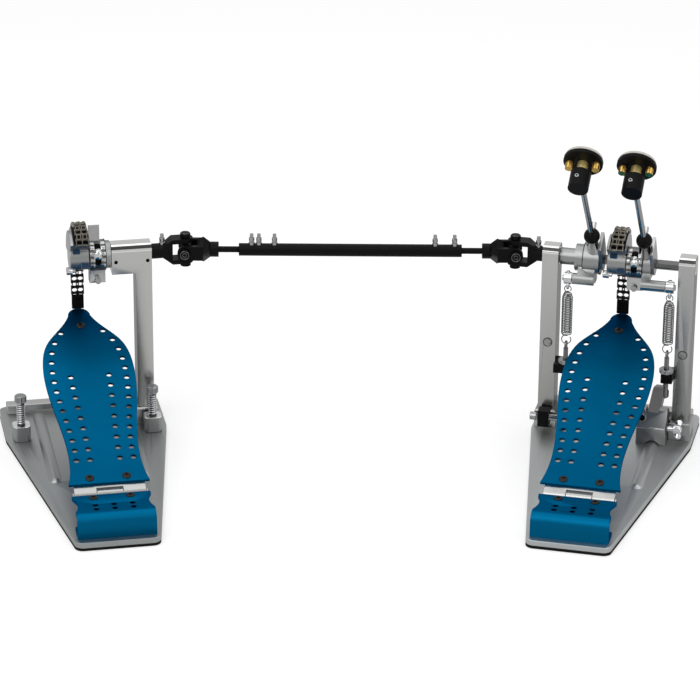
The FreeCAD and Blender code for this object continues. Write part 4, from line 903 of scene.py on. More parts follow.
LINKS = link_tree()
WIRE = wire_tree()
SCATTER = scatter_tree()
ROUND = round_tree()
ORIGIN = [(0.0, 0.0, 0.0)]


def scattered(name: str, part: Mesh, points: Sequence[Place], place: Matrix, fit: Fit,
              scale: float = 1.0) -> Thing:
    """Set a part on every point, as one piece.

    Args:
        name: The piece's name.
        part: The part.
        points: Points in millimetres.
        place: Their frame in the row.
        fit: Its body, finish and slot.
        scale: Scale of the part.

    Returns:
        The piece.
    """
    return SCATTER.piece(name, points, place, fit, {"Part": part, "Scale": scale})


def helix(radius: float, pitch: float, start: float, end: float, per_turn: int = 12) -> list[Place]:
    """Return points on a thread about the upright axis.

    Args:
        radius: Radius of the thread.
        pitch: Rise of a turn.
        start: Height of its start.
        end: Height of its end.
        per_turn: Points in each turn.

    Returns:
        The points.
    """
    count = int(per_turn * (end - start) / pitch)
    turn = [2 * math.pi * i / per_turn for i in range(count + 1)]
    return [(radius * math.cos(a), radius * math.sin(a), start + pitch * a / (2 * math.pi)) for a in turn]


@dataclass(frozen=True)
class Patch:
    """A part of a CAD node that has a finish of its own or is left off."""

    test: Callable[[Vector], bool]  # Says whether a face's middle, in millimetres in the frame, belongs to it
    finish: Finish | None  # Its finish, or None where a piece takes the place of those faces
    place: Matrix  # The frame that the test reads


@dataclass(frozen=True)
class Dress:
    """How one CAD node is finished: a copy with softened edges and its own materials."""

    node: str  # The CAD node
    finish: Finish  # Its finish
    slot: Slot  # The record's material slot
    width: float  # Width of the softened edges in millimetres
    patches: tuple[Patch, ...] = ()  # Parts with another finish

    FLAT: ClassVar[float] = math.radians(0.4)  # Faces that meet at less than this become one
    SHARP: ClassVar[float] = math.radians(40.0)  # Edges sharper than this are softened

    def _merged(self) -> Thing:
        """Copy the node with its points merged, without the faces that are left off.

        Returns:
            The copy.
        """
        bm = bmesh.new()
        bm.from_mesh(frame["nodes"][self.node].data)
        bmesh.ops.remove_doubles(bm, verts=bm.verts, dist=2e-6)
        bmesh.ops.dissolve_degenerate(bm, edges=bm.edges, dist=1e-6)
        ways = [(patch.place.inverted(), patch.test) for patch in self.patches if patch.finish is None]
        gone = [f for f in bm.faces if any(test(way @ f.calc_center_median()) for way, test in ways)]
        bmesh.ops.delete(bm, geom=gone, context="FACES")
        bmesh.ops.dissolve_limit(bm, angle_limit=self.FLAT, verts=bm.verts, edges=bm.edges)
        mesh = bpy.data.meshes.new(self.node + "_dressed")
        bm.to_mesh(mesh)
        bm.free()
        thing = bpy.data.objects.new(self.node + "_dressed", mesh)
        bpy.context.scene.collection.objects.link(thing)
        return thing

    def build(self) -> Thing:
        """Make the copy, finish it and let it stand for the node.

        Returns:
            The piece.
        """
        thing = self._merged()
        soften = thing.modifiers.new("soften", "BEVEL")
        soften.width = self.width * MM
        soften.segments = 2
        soften.limit_method = "ANGLE"
        soften.angle_limit = self.SHARP
        soften.use_clamp_overlap = True
        mesh = settled(thing).data
        mesh.materials.clear()
        mesh.materials.append(self.finish.material())
        for patch in self.patches:
            if patch.finish is None:
                continue
            mesh.materials.append(patch.finish.material())
            way = patch.place.inverted()
            for face in mesh.polygons:
                if patch.test(way @ face.center):
                    face.material_index = len(mesh.materials) - 1
        smoothed(thing, DRESS_ANGLE)
        return seat(thing, BODY_OF[self.node], self.slot, [self.node])


@dataclass(frozen=True)
class PedalPart:
    """A sub-assembly of one pedal."""

    side: Side  # Which pedal

    @property
    def name(self) -> str:
        """Return the start of its pieces' names."""
        return self.side.value

    @property
    def places(self) -> PedalPlaces:
        """Return the pedal's frames."""
        return PLACES[self.side]


@dataclass(frozen=True)
class Base(PedalPart):
    """A base plate on its mat, with the cross bar behind the posts, in millimetres."""

    lug_back: float = 264.0  # Where the spur lugs end towards the posts
    lug_top: float = 25.8  # Height just under their tops

    # Width of the bar's softened edges.
    BAR_EDGE: ClassVar[dict[Side, float]] = {Side.MAIN: 0.8, Side.SLAVE: 2.2}

    def build(self) -> None:
        """Dress the plate, the mat and the bar."""
        Dress(self.name + "_base_plate", BASE_METAL[self.side], Slot.BASE, 1.3).build()
        Dress(self.name + "_base_mat", RUBBER, Slot.MAT, 0.4).build()
        pedal = self.places.pedal()
        # Painted shade on the lugs' walls, which take the darker cast grey, and a painted highlight on their
        # tops.
        walls = Patch(lambda p: p.y < self.lug_back and p.z < self.lug_top, CASTING, pedal)
        tops = Patch(lambda p: p.y < self.lug_back and p.z > self.lug_top, LUG_HIGHLIGHT, pedal)
        Dress(self.name + "_bridge", BRIDGE_METAL, Slot.BASE, self.BAR_EDGE[self.side], (walls, tops)).build()


@dataclass(frozen=True)
class Posts:
    """The three posts with their bearings and inlaid screws, in millimetres."""

    offset: float = 73.0  # Middle of a main post from the pedal's middle
    slave_offset: float = 66.5  # Middle of the second pedal's post
    half: float = 8.55  # Half the width of a post, less a little
    front: float = 268.0  # Front face of the posts
    crown: float = 210.2  # Height where the painted highlight on the top begins
    line: tuple[float, float] = (213.0, 215.7)  # Heights between which the painted shade line runs
    line_depth: float = 5.0  # How far back it runs
    foot: float = 30.0  # Height of a post's foot
    block: float = 184.0  # Height just over the lower face of the bearing block
    screw_w: float = 108.0  # Height of the inlaid screw
    screw_reach: float = 6.0  # How far its inlay reaches from its middle
    proud: float = 0.8  # How far it stands out
    block_screws: tuple[float, float] = (36.75, 70.75)  # Places of the two screws in the bearing block
    block_screw_w: float = 199.0  # Their height
    block_screw_reach: float = 2.3  # How far their holes reach from their middles
    block_screw_walls: tuple[float, float] = (0.2, 3.4)  # Depths of those holes' walls

    SOCKET: ClassVar[Profile] = ((3.4, 0.0), (3.4, 0.35), (3.0, 0.5), (1.9, 0.5), (1.7, 0.1), (0.0, 0.1))
    RING: ClassVar[Profile] = ((4.1, -0.7), (4.1, 0.3), (4.4, 0.45), (5.0, 0.3), (5.2, -0.7))

    def _tops(self, pedal: Matrix) -> tuple[Patch, ...]:
        """Return the painted highlight on the rounded top of a post and the painted shade line along its
        front.

        Args:
            pedal: The pedal's frame.

        Returns:
            The patches.
        """
        low, high = self.line
        return (Patch(lambda p: p.z > self.crown, POLISH_AND_HIGHLIGHT, pedal),
                Patch(lambda p: low < p.z < high and p.y < self.front + self.line_depth, POST_LINE, pedal))

    def _in_hole(self, p: Vector) -> bool:
        """Look for the screw holes of the bearing block, whose walls are painted black as shade.

        Args:
            p: A point in the pedal's frame.

        Returns:
            Whether it lies in one of them.
        """
        aside = max(abs(p.z - self.block_screw_w), min(abs(p.x - u) for u in self.block_screws))
        low, high = self.block_screw_walls
        return low < p.y - self.front < high and aside < self.block_screw_reach

    def build(self) -> None:
        """Dress the posts and add the ring and socket of each inlaid screw."""
        pedal, second = MAIN.pedal(), SLAVE.pedal()
        inlay = Patch(lambda p: p.y < self.front - 0.2 and abs(p.z - self.screw_w) < self.screw_reach,
                      INLAY, pedal)
        # Painted shade: the inner sides of the main posts and the right post's outer side above its foot.
        sides = Patch(lambda p: abs(p.x) < self.offset - self.half
                      or (p.x > self.offset + self.half and p.z > self.foot), POST_SIDE_SHADE, pedal)
        # Painted shade: the inner side of the second pedal's post under its bearing block.
        dark = Patch(lambda p: p.x < self.slave_offset - self.half and p.z < self.block, POST_SIDE_SHADE, second)
        for name, finish in (("main_post_left", POST_METAL), ("main_post_right", POST_SHADED)):
            Dress(name, finish, Slot.POST, 0.7, (sides, inlay, *self._tops(pedal))).build()
        # Painted shade: the walls of the bearing block's screw holes are black.
        holes = Patch(self._in_hole, BLACK_PLASTIC, second)
        Dress("slave_post", POST_LIT, Slot.POST, 0.7, (dark, *self._tops(second), holes)).build()
        for name in ("main_post_bearings", "slave_post_bearing"):
            Dress(name, CHROME, Slot.BEARING, 0.3).build()
        points = [(sign * self.offset, 0.0, 0.0) for sign in (-1, 1)]
        face = pedal @ at(0.0, self.front - self.proud, self.screw_w) @ TO_PLAYER
        for name, part, finish in (("post_screws", lathe(self.SOCKET, 24), INLAY),
                                   ("post_screw_rings", lathe(self.RING, 28), AXLE_METAL)):
            scattered(name, part, points, face, Fit("main_frame", finish, Slot.POST))


@dataclass(frozen=True)
class Footboard(PedalPart):
    """A pierced footboard with its heel plate and hinge, in millimetres."""

    start: float = 9.0  # Start of the board from the hinge line
    length: float = 277.4  # End of the board from the hinge line
    top: float = 7.6  # Height of its upper face over the hinge line
    hole: float = 3.1  # Radius of its holes
    heel_hole: float = 3.0  # Radius of the heel plate's holes
    heel_top: float = 34.0  # Height of the heel plate
    heel_depth: float = 50.0  # Depth of the heel plate
    # Pitch of the heel plate's holes across and along it, and the first row.
    heel_holes: Place = (19.0, 9.0, 17.0)
    screw_u: float = 19.0  # Distance of a hinge screw from the middle
    screw_v: float = 17.0  # Distance of the board's hinge screws from the hinge line
    toe_screw: float = 28.0  # Distance of the toe's screw from the board's end
    heel_screw: float = 43.0  # Distance of the heel plate's screws from the heel
    # Half widths along it, each with its share of the run.
    half_widths: Profile = ((0.0, 42.0), (0.22, 37.5), (0.66, 48.0), (0.80, 39.36), (0.90, 20.16),
                            (0.955, 12.0))
    # Rows of holes: how many, shares of the run and share of the half width.
    rows: tuple[tuple[int, float, float, float], ...] = ((14, 0.13, 0.86, 0.80), (9, 0.13, 0.60, 0.42))

    SCREW: ClassVar[Profile] = ((4.6, 0.0), (4.6, 0.5), (4.1, 0.9), (3.2, 1.15), (1.9, 1.25), (1.7, 0.35),
                                (0.0, 0.35))
    FACE_GAP: ClassVar[float] = 0.02  # How near the upper face a rim's points lie
    SEARCH: ClassVar[float] = 1.5  # How far they are looked for, in radii of a hole
    ROUNDS: ClassVar[int] = 3  # How often a hole's middle is found anew

    def _half_width(self, share: float) -> float:
        """Return the board's half width.

        Args:
            share: Share of the run from the heel.

        Returns:
            The half width on a smooth curve through the named ones.
        """
        xs = [x for x, _ in self.half_widths]
        ys = [y for _, y in self.half_widths]
        slopes = []
        for i in range(len(xs)):
            low, high = max(i - 1, 0), min(i + 1, len(xs) - 1)
            slopes.append((ys[high] - ys[low]) / (xs[high] - xs[low]))
        i = max(k for k in range(len(xs) - 1) if xs[k] <= share)
        run = xs[i + 1] - xs[i]
        t = (share - xs[i]) / run
        return ((2 * t**3 - 3 * t**2 + 1) * ys[i] + (t**3 - 2 * t**2 + t) * run * slopes[i]
                + (3 * t**2 - 2 * t**3) * ys[i + 1] + (t**3 - t**2) * run * slopes[i + 1])

    def _nominal_places(self) -> list[Place]:
        """Work out where the holes are to be found, from the board's rule.

        Returns:
            A place near the middle of each hole.
        """
        run = self.length - self.start
        places = []
        for count, low, high, width in self.rows:
            for i in range(count):
                share = low + (high - low) * i / (count - 1)
                half = self._half_width(share) * width
                places += [(sign * half, self.start + run * share, self.top) for sign in (1, -1)]
        return places

    def _hole_places(self) -> list[Place]:
        """Find the holes by their rims on the CAD board's upper face.

        Returns:
            The true middle of each hole.
        """
        way = self.places.board().inverted()
        points = [way @ v.co for v in frame["nodes"][self.name + "_footboard"].data.vertices]
        face = [p for p in points if abs(p.z - self.top) < self.FACE_GAP]
        middles = []
        for place in self._nominal_places():
            centre = Vector(place)
            for _ in range(self.ROUNDS):
                near = [p for p in face if (p - centre).length < self.hole * self.SEARCH]
                if near:
                    low = Vector((min(p.x for p in near), min(p.y for p in near), self.top))
                    high = Vector((max(p.x for p in near), max(p.y for p in near), self.top))
                    centre = (low + high) / 2
            middles.append(tuple(centre))
        return middles

    def _rim(self) -> Mesh:
        """Return the countersunk rim in the mouth of a hole, dark blue as painted shade in the hole."""
        return lathe([(self.hole - 0.12, -2.9), (self.hole - 0.08, -1.05), (self.hole + 0.95, -0.05),
                      (self.hole + 1.2, 0.04)], 20)

    def build(self) -> None:
        """Dress the board, heel plate and hinge, and add rims and screws."""
        name, top, u = self.name, self.top, self.screw_u
        pedal, board = self.places.pedal(), self.places.board()
        Dress(name + "_footboard", BLUE[self.side], Slot.BOARD, 1.1).build()
        Dress(name + "_heel_plate", BLUE_HEEL_LIT[self.side], Slot.BOARD, 0.6).build()
        heel_heads = Patch(lambda p: p.z > self.heel_top + 0.05 and p.y < self.heel_depth, None, pedal)
        board_heads = Patch(lambda p: p.z > top + 0.05, None, board)
        for node, heads in (("_heel_hinge", heel_heads), ("_footboard_hinge", board_heads)):
            Dress(name + node, HINGE_METAL, Slot.HINGE, 0.35, (heads,)).build()
        on_board, on_heel = name + "_footboard", BODY_OF[name + "_heel_plate"]
        across, along, first = self.heel_holes
        holes = [(i * across, first + along * row, self.heel_top) for i in (-1, 0, 1) for row in (0, 1)]
        scattered(name + "_footboard_rims", self._rim(), self._hole_places(), board,
                  Fit(on_board, RIM_SHADE, Slot.BOARD))
        scattered(name + "_heel_rims", self._rim(), holes, pedal, Fit(on_heel, RIM_SHADE, Slot.BOARD),
                  self.heel_hole / self.hole)
        screws = [(u, self.screw_v, top), (-u, self.screw_v, top), (0.0, self.length - self.toe_screw, top)]
        scattered(name + "_footboard_screws", lathe(self.SCREW, 24), screws, board,
                  Fit(on_board, DARK_SCREW, Slot.HINGE))
        screws = [(sign * u, self.heel_screw, self.heel_top) for sign in (-1, 1)]
        scattered(name + "_heel_screws", lathe(self.SCREW, 24), screws, pedal,
                  Fit(on_heel, DARK_SCREW, Slot.HINGE))


@dataclass(frozen=True)
class ChainDrive(PedalPart):
    """A chain wheel with its duplex chain and strap, in millimetres."""

    pitch: float = 6.35  # Pitch of the chain
    radius: float = 34.41  # Pitch radius of the wheel
    core: float = 15.0  # Radius of the wheel's core
    wrap: float = 135.0  # Part of the wheel that the chain lies on, in degrees
    drop: float = 62.8  # Length of the hanging run
    width: float = 14.0  # Width over the chain's pins
    plate_end: float = 2.3  # Radius of a side plate's ends
    plate: float = 0.9  # Thickness of a side plate
    outer: tuple[float, ...] = (-6.45, 0.0, 6.45)  # Where the plates of an outer link stand across the chain
    inner: tuple[float, ...] = (-5.3, -1.15, 1.15, 5.3)  # Where those of an inner link stand
    pin: float = 1.1  # Radius of an outer link's pins
    roller: float = 1.55  # Radius of an inner link's rollers
    strap: tuple[float, float] = (13.0, 3.2)  # Width and thickness of the strap
    strap_end: float = -74.8  # Lower end of the strap from the axle
    bend: tuple[float, float] = (16.0, -10.0)  # Heights between which the chain leaves the wheel
    tread: tuple[float, float] = (29.0, 9.1)  # Radius and half width of the wheel under the chain, painted black there as shade in the chain's gaps
    # Name, station and height of each felt cushion.
    felts: tuple[tuple[str, float, float], ...] = (("upper", -5.2, 10.2), ("lower", 3.3, -5.9))
    felt: Place = (7.6, 3.4, 7.0)  # Size of a felt cushion
    screw: Place = (-9.5, -9.0, -13.0)  # Place of the screw that clamps the wheel

    ACROSS: ClassVar[Matrix] = Matrix(((0, 0, 1, 0), (1, 0, 0, 0), (0, 1, 0, 0), (0, 0, 0, 1)))
    SCREW: ClassVar[Profile] = ((0.0, -3.0), (2.2, -3.0), (2.2, 0.0), (4.0, 0.3), (4.2, 0.8), (4.2, 6.2),
                                (3.8, 6.7), (2.2, 6.7), (2.0, 4.8), (0.0, 4.8))

    def _link(self, spread: Sequence[float], roller: float, pin: float) -> Mesh:
        """Make one link: its side plates and what crosses them.

        Args:
            spread: Where its plates stand across the chain.
            roller: Radius of its rollers, or zero.
            pin: Radius of its pins, or zero.

        Returns:
            The link, along the third axis.
        """
        half = self.pitch / 2
        outline = []
        for middle, start in ((half, -90.0), (-half, 90.0)):
            for i in range(7):
                angle = math.radians(start + 30.0 * i)
                outline.append((self.plate_end * math.sin(angle), middle + self.plate_end * math.cos(angle)))
        parts = [(slab(outline, self.plate), at(x, 0.0, 0.0) @ self.ACROSS) for x in spread]
        for z in (-half, half):
            if roller:
                for x in (-self.width / 4, self.width / 4):
                    drum = lathe([(0.0, -2.0), (roller, -2.0), (roller, 2.0), (0.0, 2.0)], 10)
                    parts.append((drum, at(x, 0.0, z) @ ALONG_U))
            if pin:
                end = self.width / 2
                bar = lathe([(0.0, -end), (pin * 0.8, -end), (pin, 0.4 - end), (pin, end - 0.4),
                             (pin * 0.8, end), (0.0, end)], 8)
                parts.append((bar, at(0.0, 0.0, z) @ ALONG_U))
        return joined(*parts)

    def _chain(self) -> None:
        """Lay the chain over the wheel and down to the strap."""
        name, axle = self.name, self.places.axle()
        count = int(self.wrap)
        arc = [math.radians(self.wrap * (1 - i / count)) for i in range(count + 1)]
        over = [(0.0, self.radius * math.cos(a), self.radius * math.sin(a)) for a in arc]
        down = [(0.0, self.radius, -0.5), (0.0, self.radius, -self.drop + self.pitch / 2)]
        for label, line, finish, node in (("_chain_links", over, LINK_METAL, "_chain"),
                                          ("_chain_run", down, LINK_DARKER, "_chain_drop")):
            links = {"Outer": self._link(self.outer, 0.0, self.pin),
                     "Inner": self._link(self.inner, self.roller, 0.0), "Pitch": self.pitch}
            thing = LINKS.run(name + label, line, axle, finish, links, line=True)
            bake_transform(thing)
            listed(thing, [name + node], name + "_drive and " + name + "_chain_drop")

    def _strap(self) -> None:
        """Make the woven strap between the chain and the toe."""
        height = 4.0 - self.drop - self.strap_end
        place = self.places.axle() @ at(0.0, self.radius, self.strap_end + height / 2)
        piece(self.name + "_strap", rounded_block((*self.strap, height), 0.9), place,
              Fit(self.name + "_chain_drop", STRAP_WEAVE, Slot.CHAIN))

    def _felts(self) -> None:
        """Add the two felt cushions on the wheel's face to the player."""
        for label, u, w in self.felts:
            depth = math.sqrt(self.core**2 - w**2)
            lean = turned("X", -math.degrees(math.asin(w / self.core)))
            thing = piece(self.name + "_felt_" + label, rounded_block(self.felt, 0.8),
                          self.places.axle() @ at(u, -depth - 0.5, w) @ lean,
                          Fit(self.name + "_drive", BLUE_FELT, Slot.FELT))

    def build(self) -> None:
        """Dress the wheel and axle and make the chain, its strap, the felts and the clamping screw."""
        axle = self.places.axle()
        radius, half = self.tread
        # Painted shade: the wheel under the chain is black so that the gaps between the links look dark.
        under = Patch(lambda p: math.hypot(p.y, p.z) > radius and abs(p.x) < half, BLACK_METAL, axle)
        Dress(self.name + "_sprocket", CASTING, Slot.CASTING, 0.5, (under,)).build()
        self._chain()
        self._strap()
        self._felts()
        piece(self.name + "_wheel_screw", lathe(self.SCREW, 24), axle @ at(*self.screw) @ turned("Y", -90.0),
              Fit(self.name + "_drive", CHROME, Slot.AXLE))
        Dress(self.name + "_axle", AXLE_METAL, Slot.AXLE, 0.3).build()


@dataclass(frozen=True)
class ClampHub(PedalPart):
    """The slotted clamp hub beside a chain wheel, in millimetres."""

    node: str  # Its CAD node
    start: float = 9.0  # Start of the hub along the axle
    length: float = 17.0  # Length of the hub
    radius: float = 16.5  # Its radius
    turn: float = 24.0  # How far its slot is turned up, in degrees
    floor: Place = (2.6, -9.0, 11.2)  # Half the width, front and half the height of the cut under the slot, painted black as shade
    seat: tuple[float, float] = (5.2, 5.4)  # Half the width and half the height of the bolt's seat
    slot: tuple[float, float] = (3.4, 12.6)  # Half the width and half the length of the dark sheet of painted shade where the slot is
    slot_room: float = 6.0  # Width that the ridges leave for it
    ridge: tuple[float, float] = (2.4, 4.4)  # Depth and height of a ridge
    lug: Place = (3.4, 5.6, -20.0)  # Half the width, half the depth and top of the lug's bolt
    seal_bore: float = 14.0  # Inner radius of the seal
    # Where the ridges stand round the hub, in degrees from the slot's middle.
    ridge_angles: tuple[float, ...] = (-44.0, -22.0, 0.0, 22.0, 44.0)

    BOLT: ClassVar[Profile] = ((5.7, -4.0), (5.7, 0.4), (5.1, 1.0), (4.9, 1.5), (4.4, 2.4), (3.3, 3.3),
                               (1.7, 3.8), (1.4, 2.8), (0.0, 2.8))

    @property
    def middle(self) -> float:
        """Return the station of the slot along the axle."""
        return self.start + self.length / 2

    def _fit(self, finish: Finish, slot: Slot) -> Fit:
        """Return the fit of a piece on the hub."""
        return Fit(BODY_OF[self.node], finish, slot)

    def build(self) -> None:
        """Dress the hub and add its ridges, the painted shade of its slot, its bolt and seal."""
        axle = self.places.axle()
        face = axle @ turned("X", -self.turn)
        middle, radius, end = self.middle, self.radius, self.start + self.length
        wide, front, high = self.floor
        # Painted shade: the cut under the slot is painted black.
        slot = Patch(lambda p: abs(p.x - middle) < wide and p.y < front and abs(p.z) < high,
                     BLACK_PLASTIC, face)
        half, rise = self.seat
        bolt = Patch(lambda p: abs(p.x - middle) < half and p.y < 0.4 - radius and abs(p.z) < rise,
                     None, face)
        lug_half, lug_deep, lug_top = self.lug
        lug = Patch(lambda p: p.z < lug_top and abs(p.y) > lug_deep and abs(p.x - middle) < lug_half,
                    DULL_CHROME, axle)
        ears = Patch(lambda p: abs(p.z) > radius + 1.0, RIDGE_METAL, axle)
        ring = Patch(lambda p: self.start + 0.3 < p.x < end - 0.3
                     and abs(math.hypot(p.y, p.z) - radius) < 0.6, MID_CASTING, axle)
        Dress(self.node, CASTING, Slot.CASTING, 0.5, (bolt, ring, ears, slot, lug)).build()
        piece(self.name + "_hub_ridges", self._ridges(), face, self._fit(RIDGE_METAL, Slot.CASTING))
        # Painted shade: a dark sheet over the hub where its slot is.
        piece(self.name + "_hub_slot", self._slot(), face, self._fit(BLACK_PLASTIC, Slot.SOCKET))
        piece(self.name + "_hub_bolt", lathe(self.BOLT), face @ at(middle, -radius, 0.0) @ TO_PLAYER,
              self._fit(CHROME, Slot.AXLE))
        bore, rim = self.seal_bore, radius + 0.3
        seal = lathe([(bore, 0.0), (rim, 0.1), (rim, 0.9), (bore, 1.0)], 40)
        piece(self.name + "_hub_seal", seal, axle @ at(end - 0.5, 0.0, 0.0) @ ALONG_U,
              self._fit(BLACK_PLASTIC, Slot.SOCKET))

    def _ridges(self) -> Mesh:
        """Make the level ridges on the hub's face, clear of its slot.

        Returns:
            Their mesh.
        """
        width = (self.length - self.slot_room) / 2
        parts = []
        for sign in (-1, 1):
            for degrees in self.ridge_angles:
                angle = math.radians(degrees)
                spot = at(self.middle + sign * (self.slot_room + width) / 2, -self.radius * math.cos(angle),
                          self.radius * math.sin(angle))
                block = rounded_block((width - 0.4, *self.ridge), 0.7, 2)
                parts.append((block, spot @ turned("X", -degrees)))
        return joined(*parts)

    def _slot(self) -> Mesh:
        """Make a dark sheet of painted shade with round ends, bent round the hub, where the slot is.

        Returns:
            Its mesh.
        """
        half, end = self.slot
        steps = 20
        depth = self.radius + 0.25
        bm = bmesh.new()
        rows = []
        for i in range(steps + 1):
            along = end * (2 * i / steps - 1)
            over = max(abs(along) - end + half, 0.0)
            wide = math.sqrt(max(half * half - over * over, 0.05))
            angle = along / self.radius
            y, z = -depth * math.cos(angle), depth * math.sin(angle)
            rows.append([bm.verts.new((self.middle + sign * wide, y, z)) for sign in (-1, 1)])
        for low, high in zip(rows, rows[1:]):
            bm.faces.new((low[0], low[1], high[1], high[0]))
        bmesh.ops.solidify(bm, geom=bm.faces[:], thickness=0.5)
        # The new faces come in another order in each run, so they are put in that of their corners.
        bm.verts.index_update()
        corners = {face: [v.index for v in face.verts] for face in bm.faces}
        bm.faces.sort(key=lambda face: len(bm.verts) * min(corners[face]) + max(corners[face]))
        return bm


@dataclass(frozen=True)
class Beater(PedalPart):
    """A beater with its socket, head and felt, in millimetres."""

    u: float  # Station along the main axle
    reach: float = 145.0  # Distance of the head from the axle
    body_front: float = 4.6  # End of the head's body towards the disc
    body_radius: float = 10.8  # Radius of the body
    disc_start: float = 17.2  # Start of the disc across the shaft
    disc_end: float = 21.2  # End of the disc
    felt_radius: float = 19.8  # Radius of the felt
    felt_thickness: float = 5.5  # Thickness of the felt
    neck_drop: float = 6.4  # How far under its ball the socket's bright neck ends
    key_front: float = 8.4  # Front of the socket, where its key screw stands out
    neck_half: float = 7.0  # Half the width of the head's neck, and a little more, where the brass takes a painted highlight
    set_screw: tuple[float, float] = (-1.6, -6.0)  # Place of the set screw on the head

    SET_SCREW: ClassVar[Profile] = ((2.3, -0.5), (2.3, 0.3), (1.9, 0.6), (1.2, 0.6), (1.1, 0.0), (0.0, 0.0))

    def build(self) -> None:
        """Dress the socket, shaft and head and make the felt and the set screw."""
        place, tilted = MAIN.beater(self.u), MAIN.tilted(self.u)
        neck = Patch(lambda p: p.z < MAIN.socket_reach - self.neck_drop, POLISH_AND_HIGHLIGHT, place)
        key = Patch(lambda p: p.y > self.key_front, CHROME, place)
        Dress(self.name + "_beater_socket", BLACK_PLASTIC, Slot.SOCKET, 0.4, (neck, key)).build()
        Dress(self.name + "_beater_shaft", DULL_CHROME, Slot.AXLE, 0.5).build()
        low, high = self.body_front + 0.05, self.disc_start - 0.05
        brass = Patch(lambda p: low < p.y < high, BRASS, tilted)
        # Painted highlight on the brass of the neck.
        neck = Patch(lambda p: low < p.y < high and abs(p.x) < self.neck_half, BRASS_LIT, tilted)
        Dress(self.name + "_beater_head", BLACK_PLASTIC, Slot.SOCKET, 0.8, (brass, neck)).build()
        self._felt(tilted @ at(0.0, self.disc_end, self.reach) @ turned("X", -90.0))
        piece(self.name + "_head_screw", lathe(self.SET_SCREW, 16),
              tilted @ at(*self.set_screw, self.reach + self.body_radius - 0.3),
              Fit(self.name + "_beater", DULL_CHROME, Slot.AXLE))

    def _felt(self, place: Matrix) -> None:
        """Make the crowned felt on the head's disc.

        Args:
            place: The frame of the disc's face.
        """
        r, t = self.felt_radius, self.felt_thickness
        bm = lathe([(0.0, 0.0), (r * 0.6, 0.0), (r - 0.8, 0.0), (r - 0.1, 0.6), (r, 1.6), (r, 3.0),
                    (r - 0.5, 4.1), (r - 1.9, 4.9), (r - 4.5, 5.3), (r * 0.4, t - 0.1), (0.0, t)], 48)
        for vertex in bm.verts:
            x, y, z = vertex.co
            wave = math.sin(x * 1.9 + y * 1.3) * math.sin(y * 2.3 - z)
            vertex.co += vertex.co.normalized() * wave * 0.12
        thing = hold(self.name + "_felt", bm, place)
        thing.data.materials.append(WHITE_FELT.material())
        soft = thing.modifiers.new("soften", "SUBSURF")
        soft.levels = soft.render_levels = 1
        smoothed(settled(thing), FELT_ANGLE)
        seat(thing, self.name + "_beater", Slot.FELT, [self.name + "_beater_felt"])


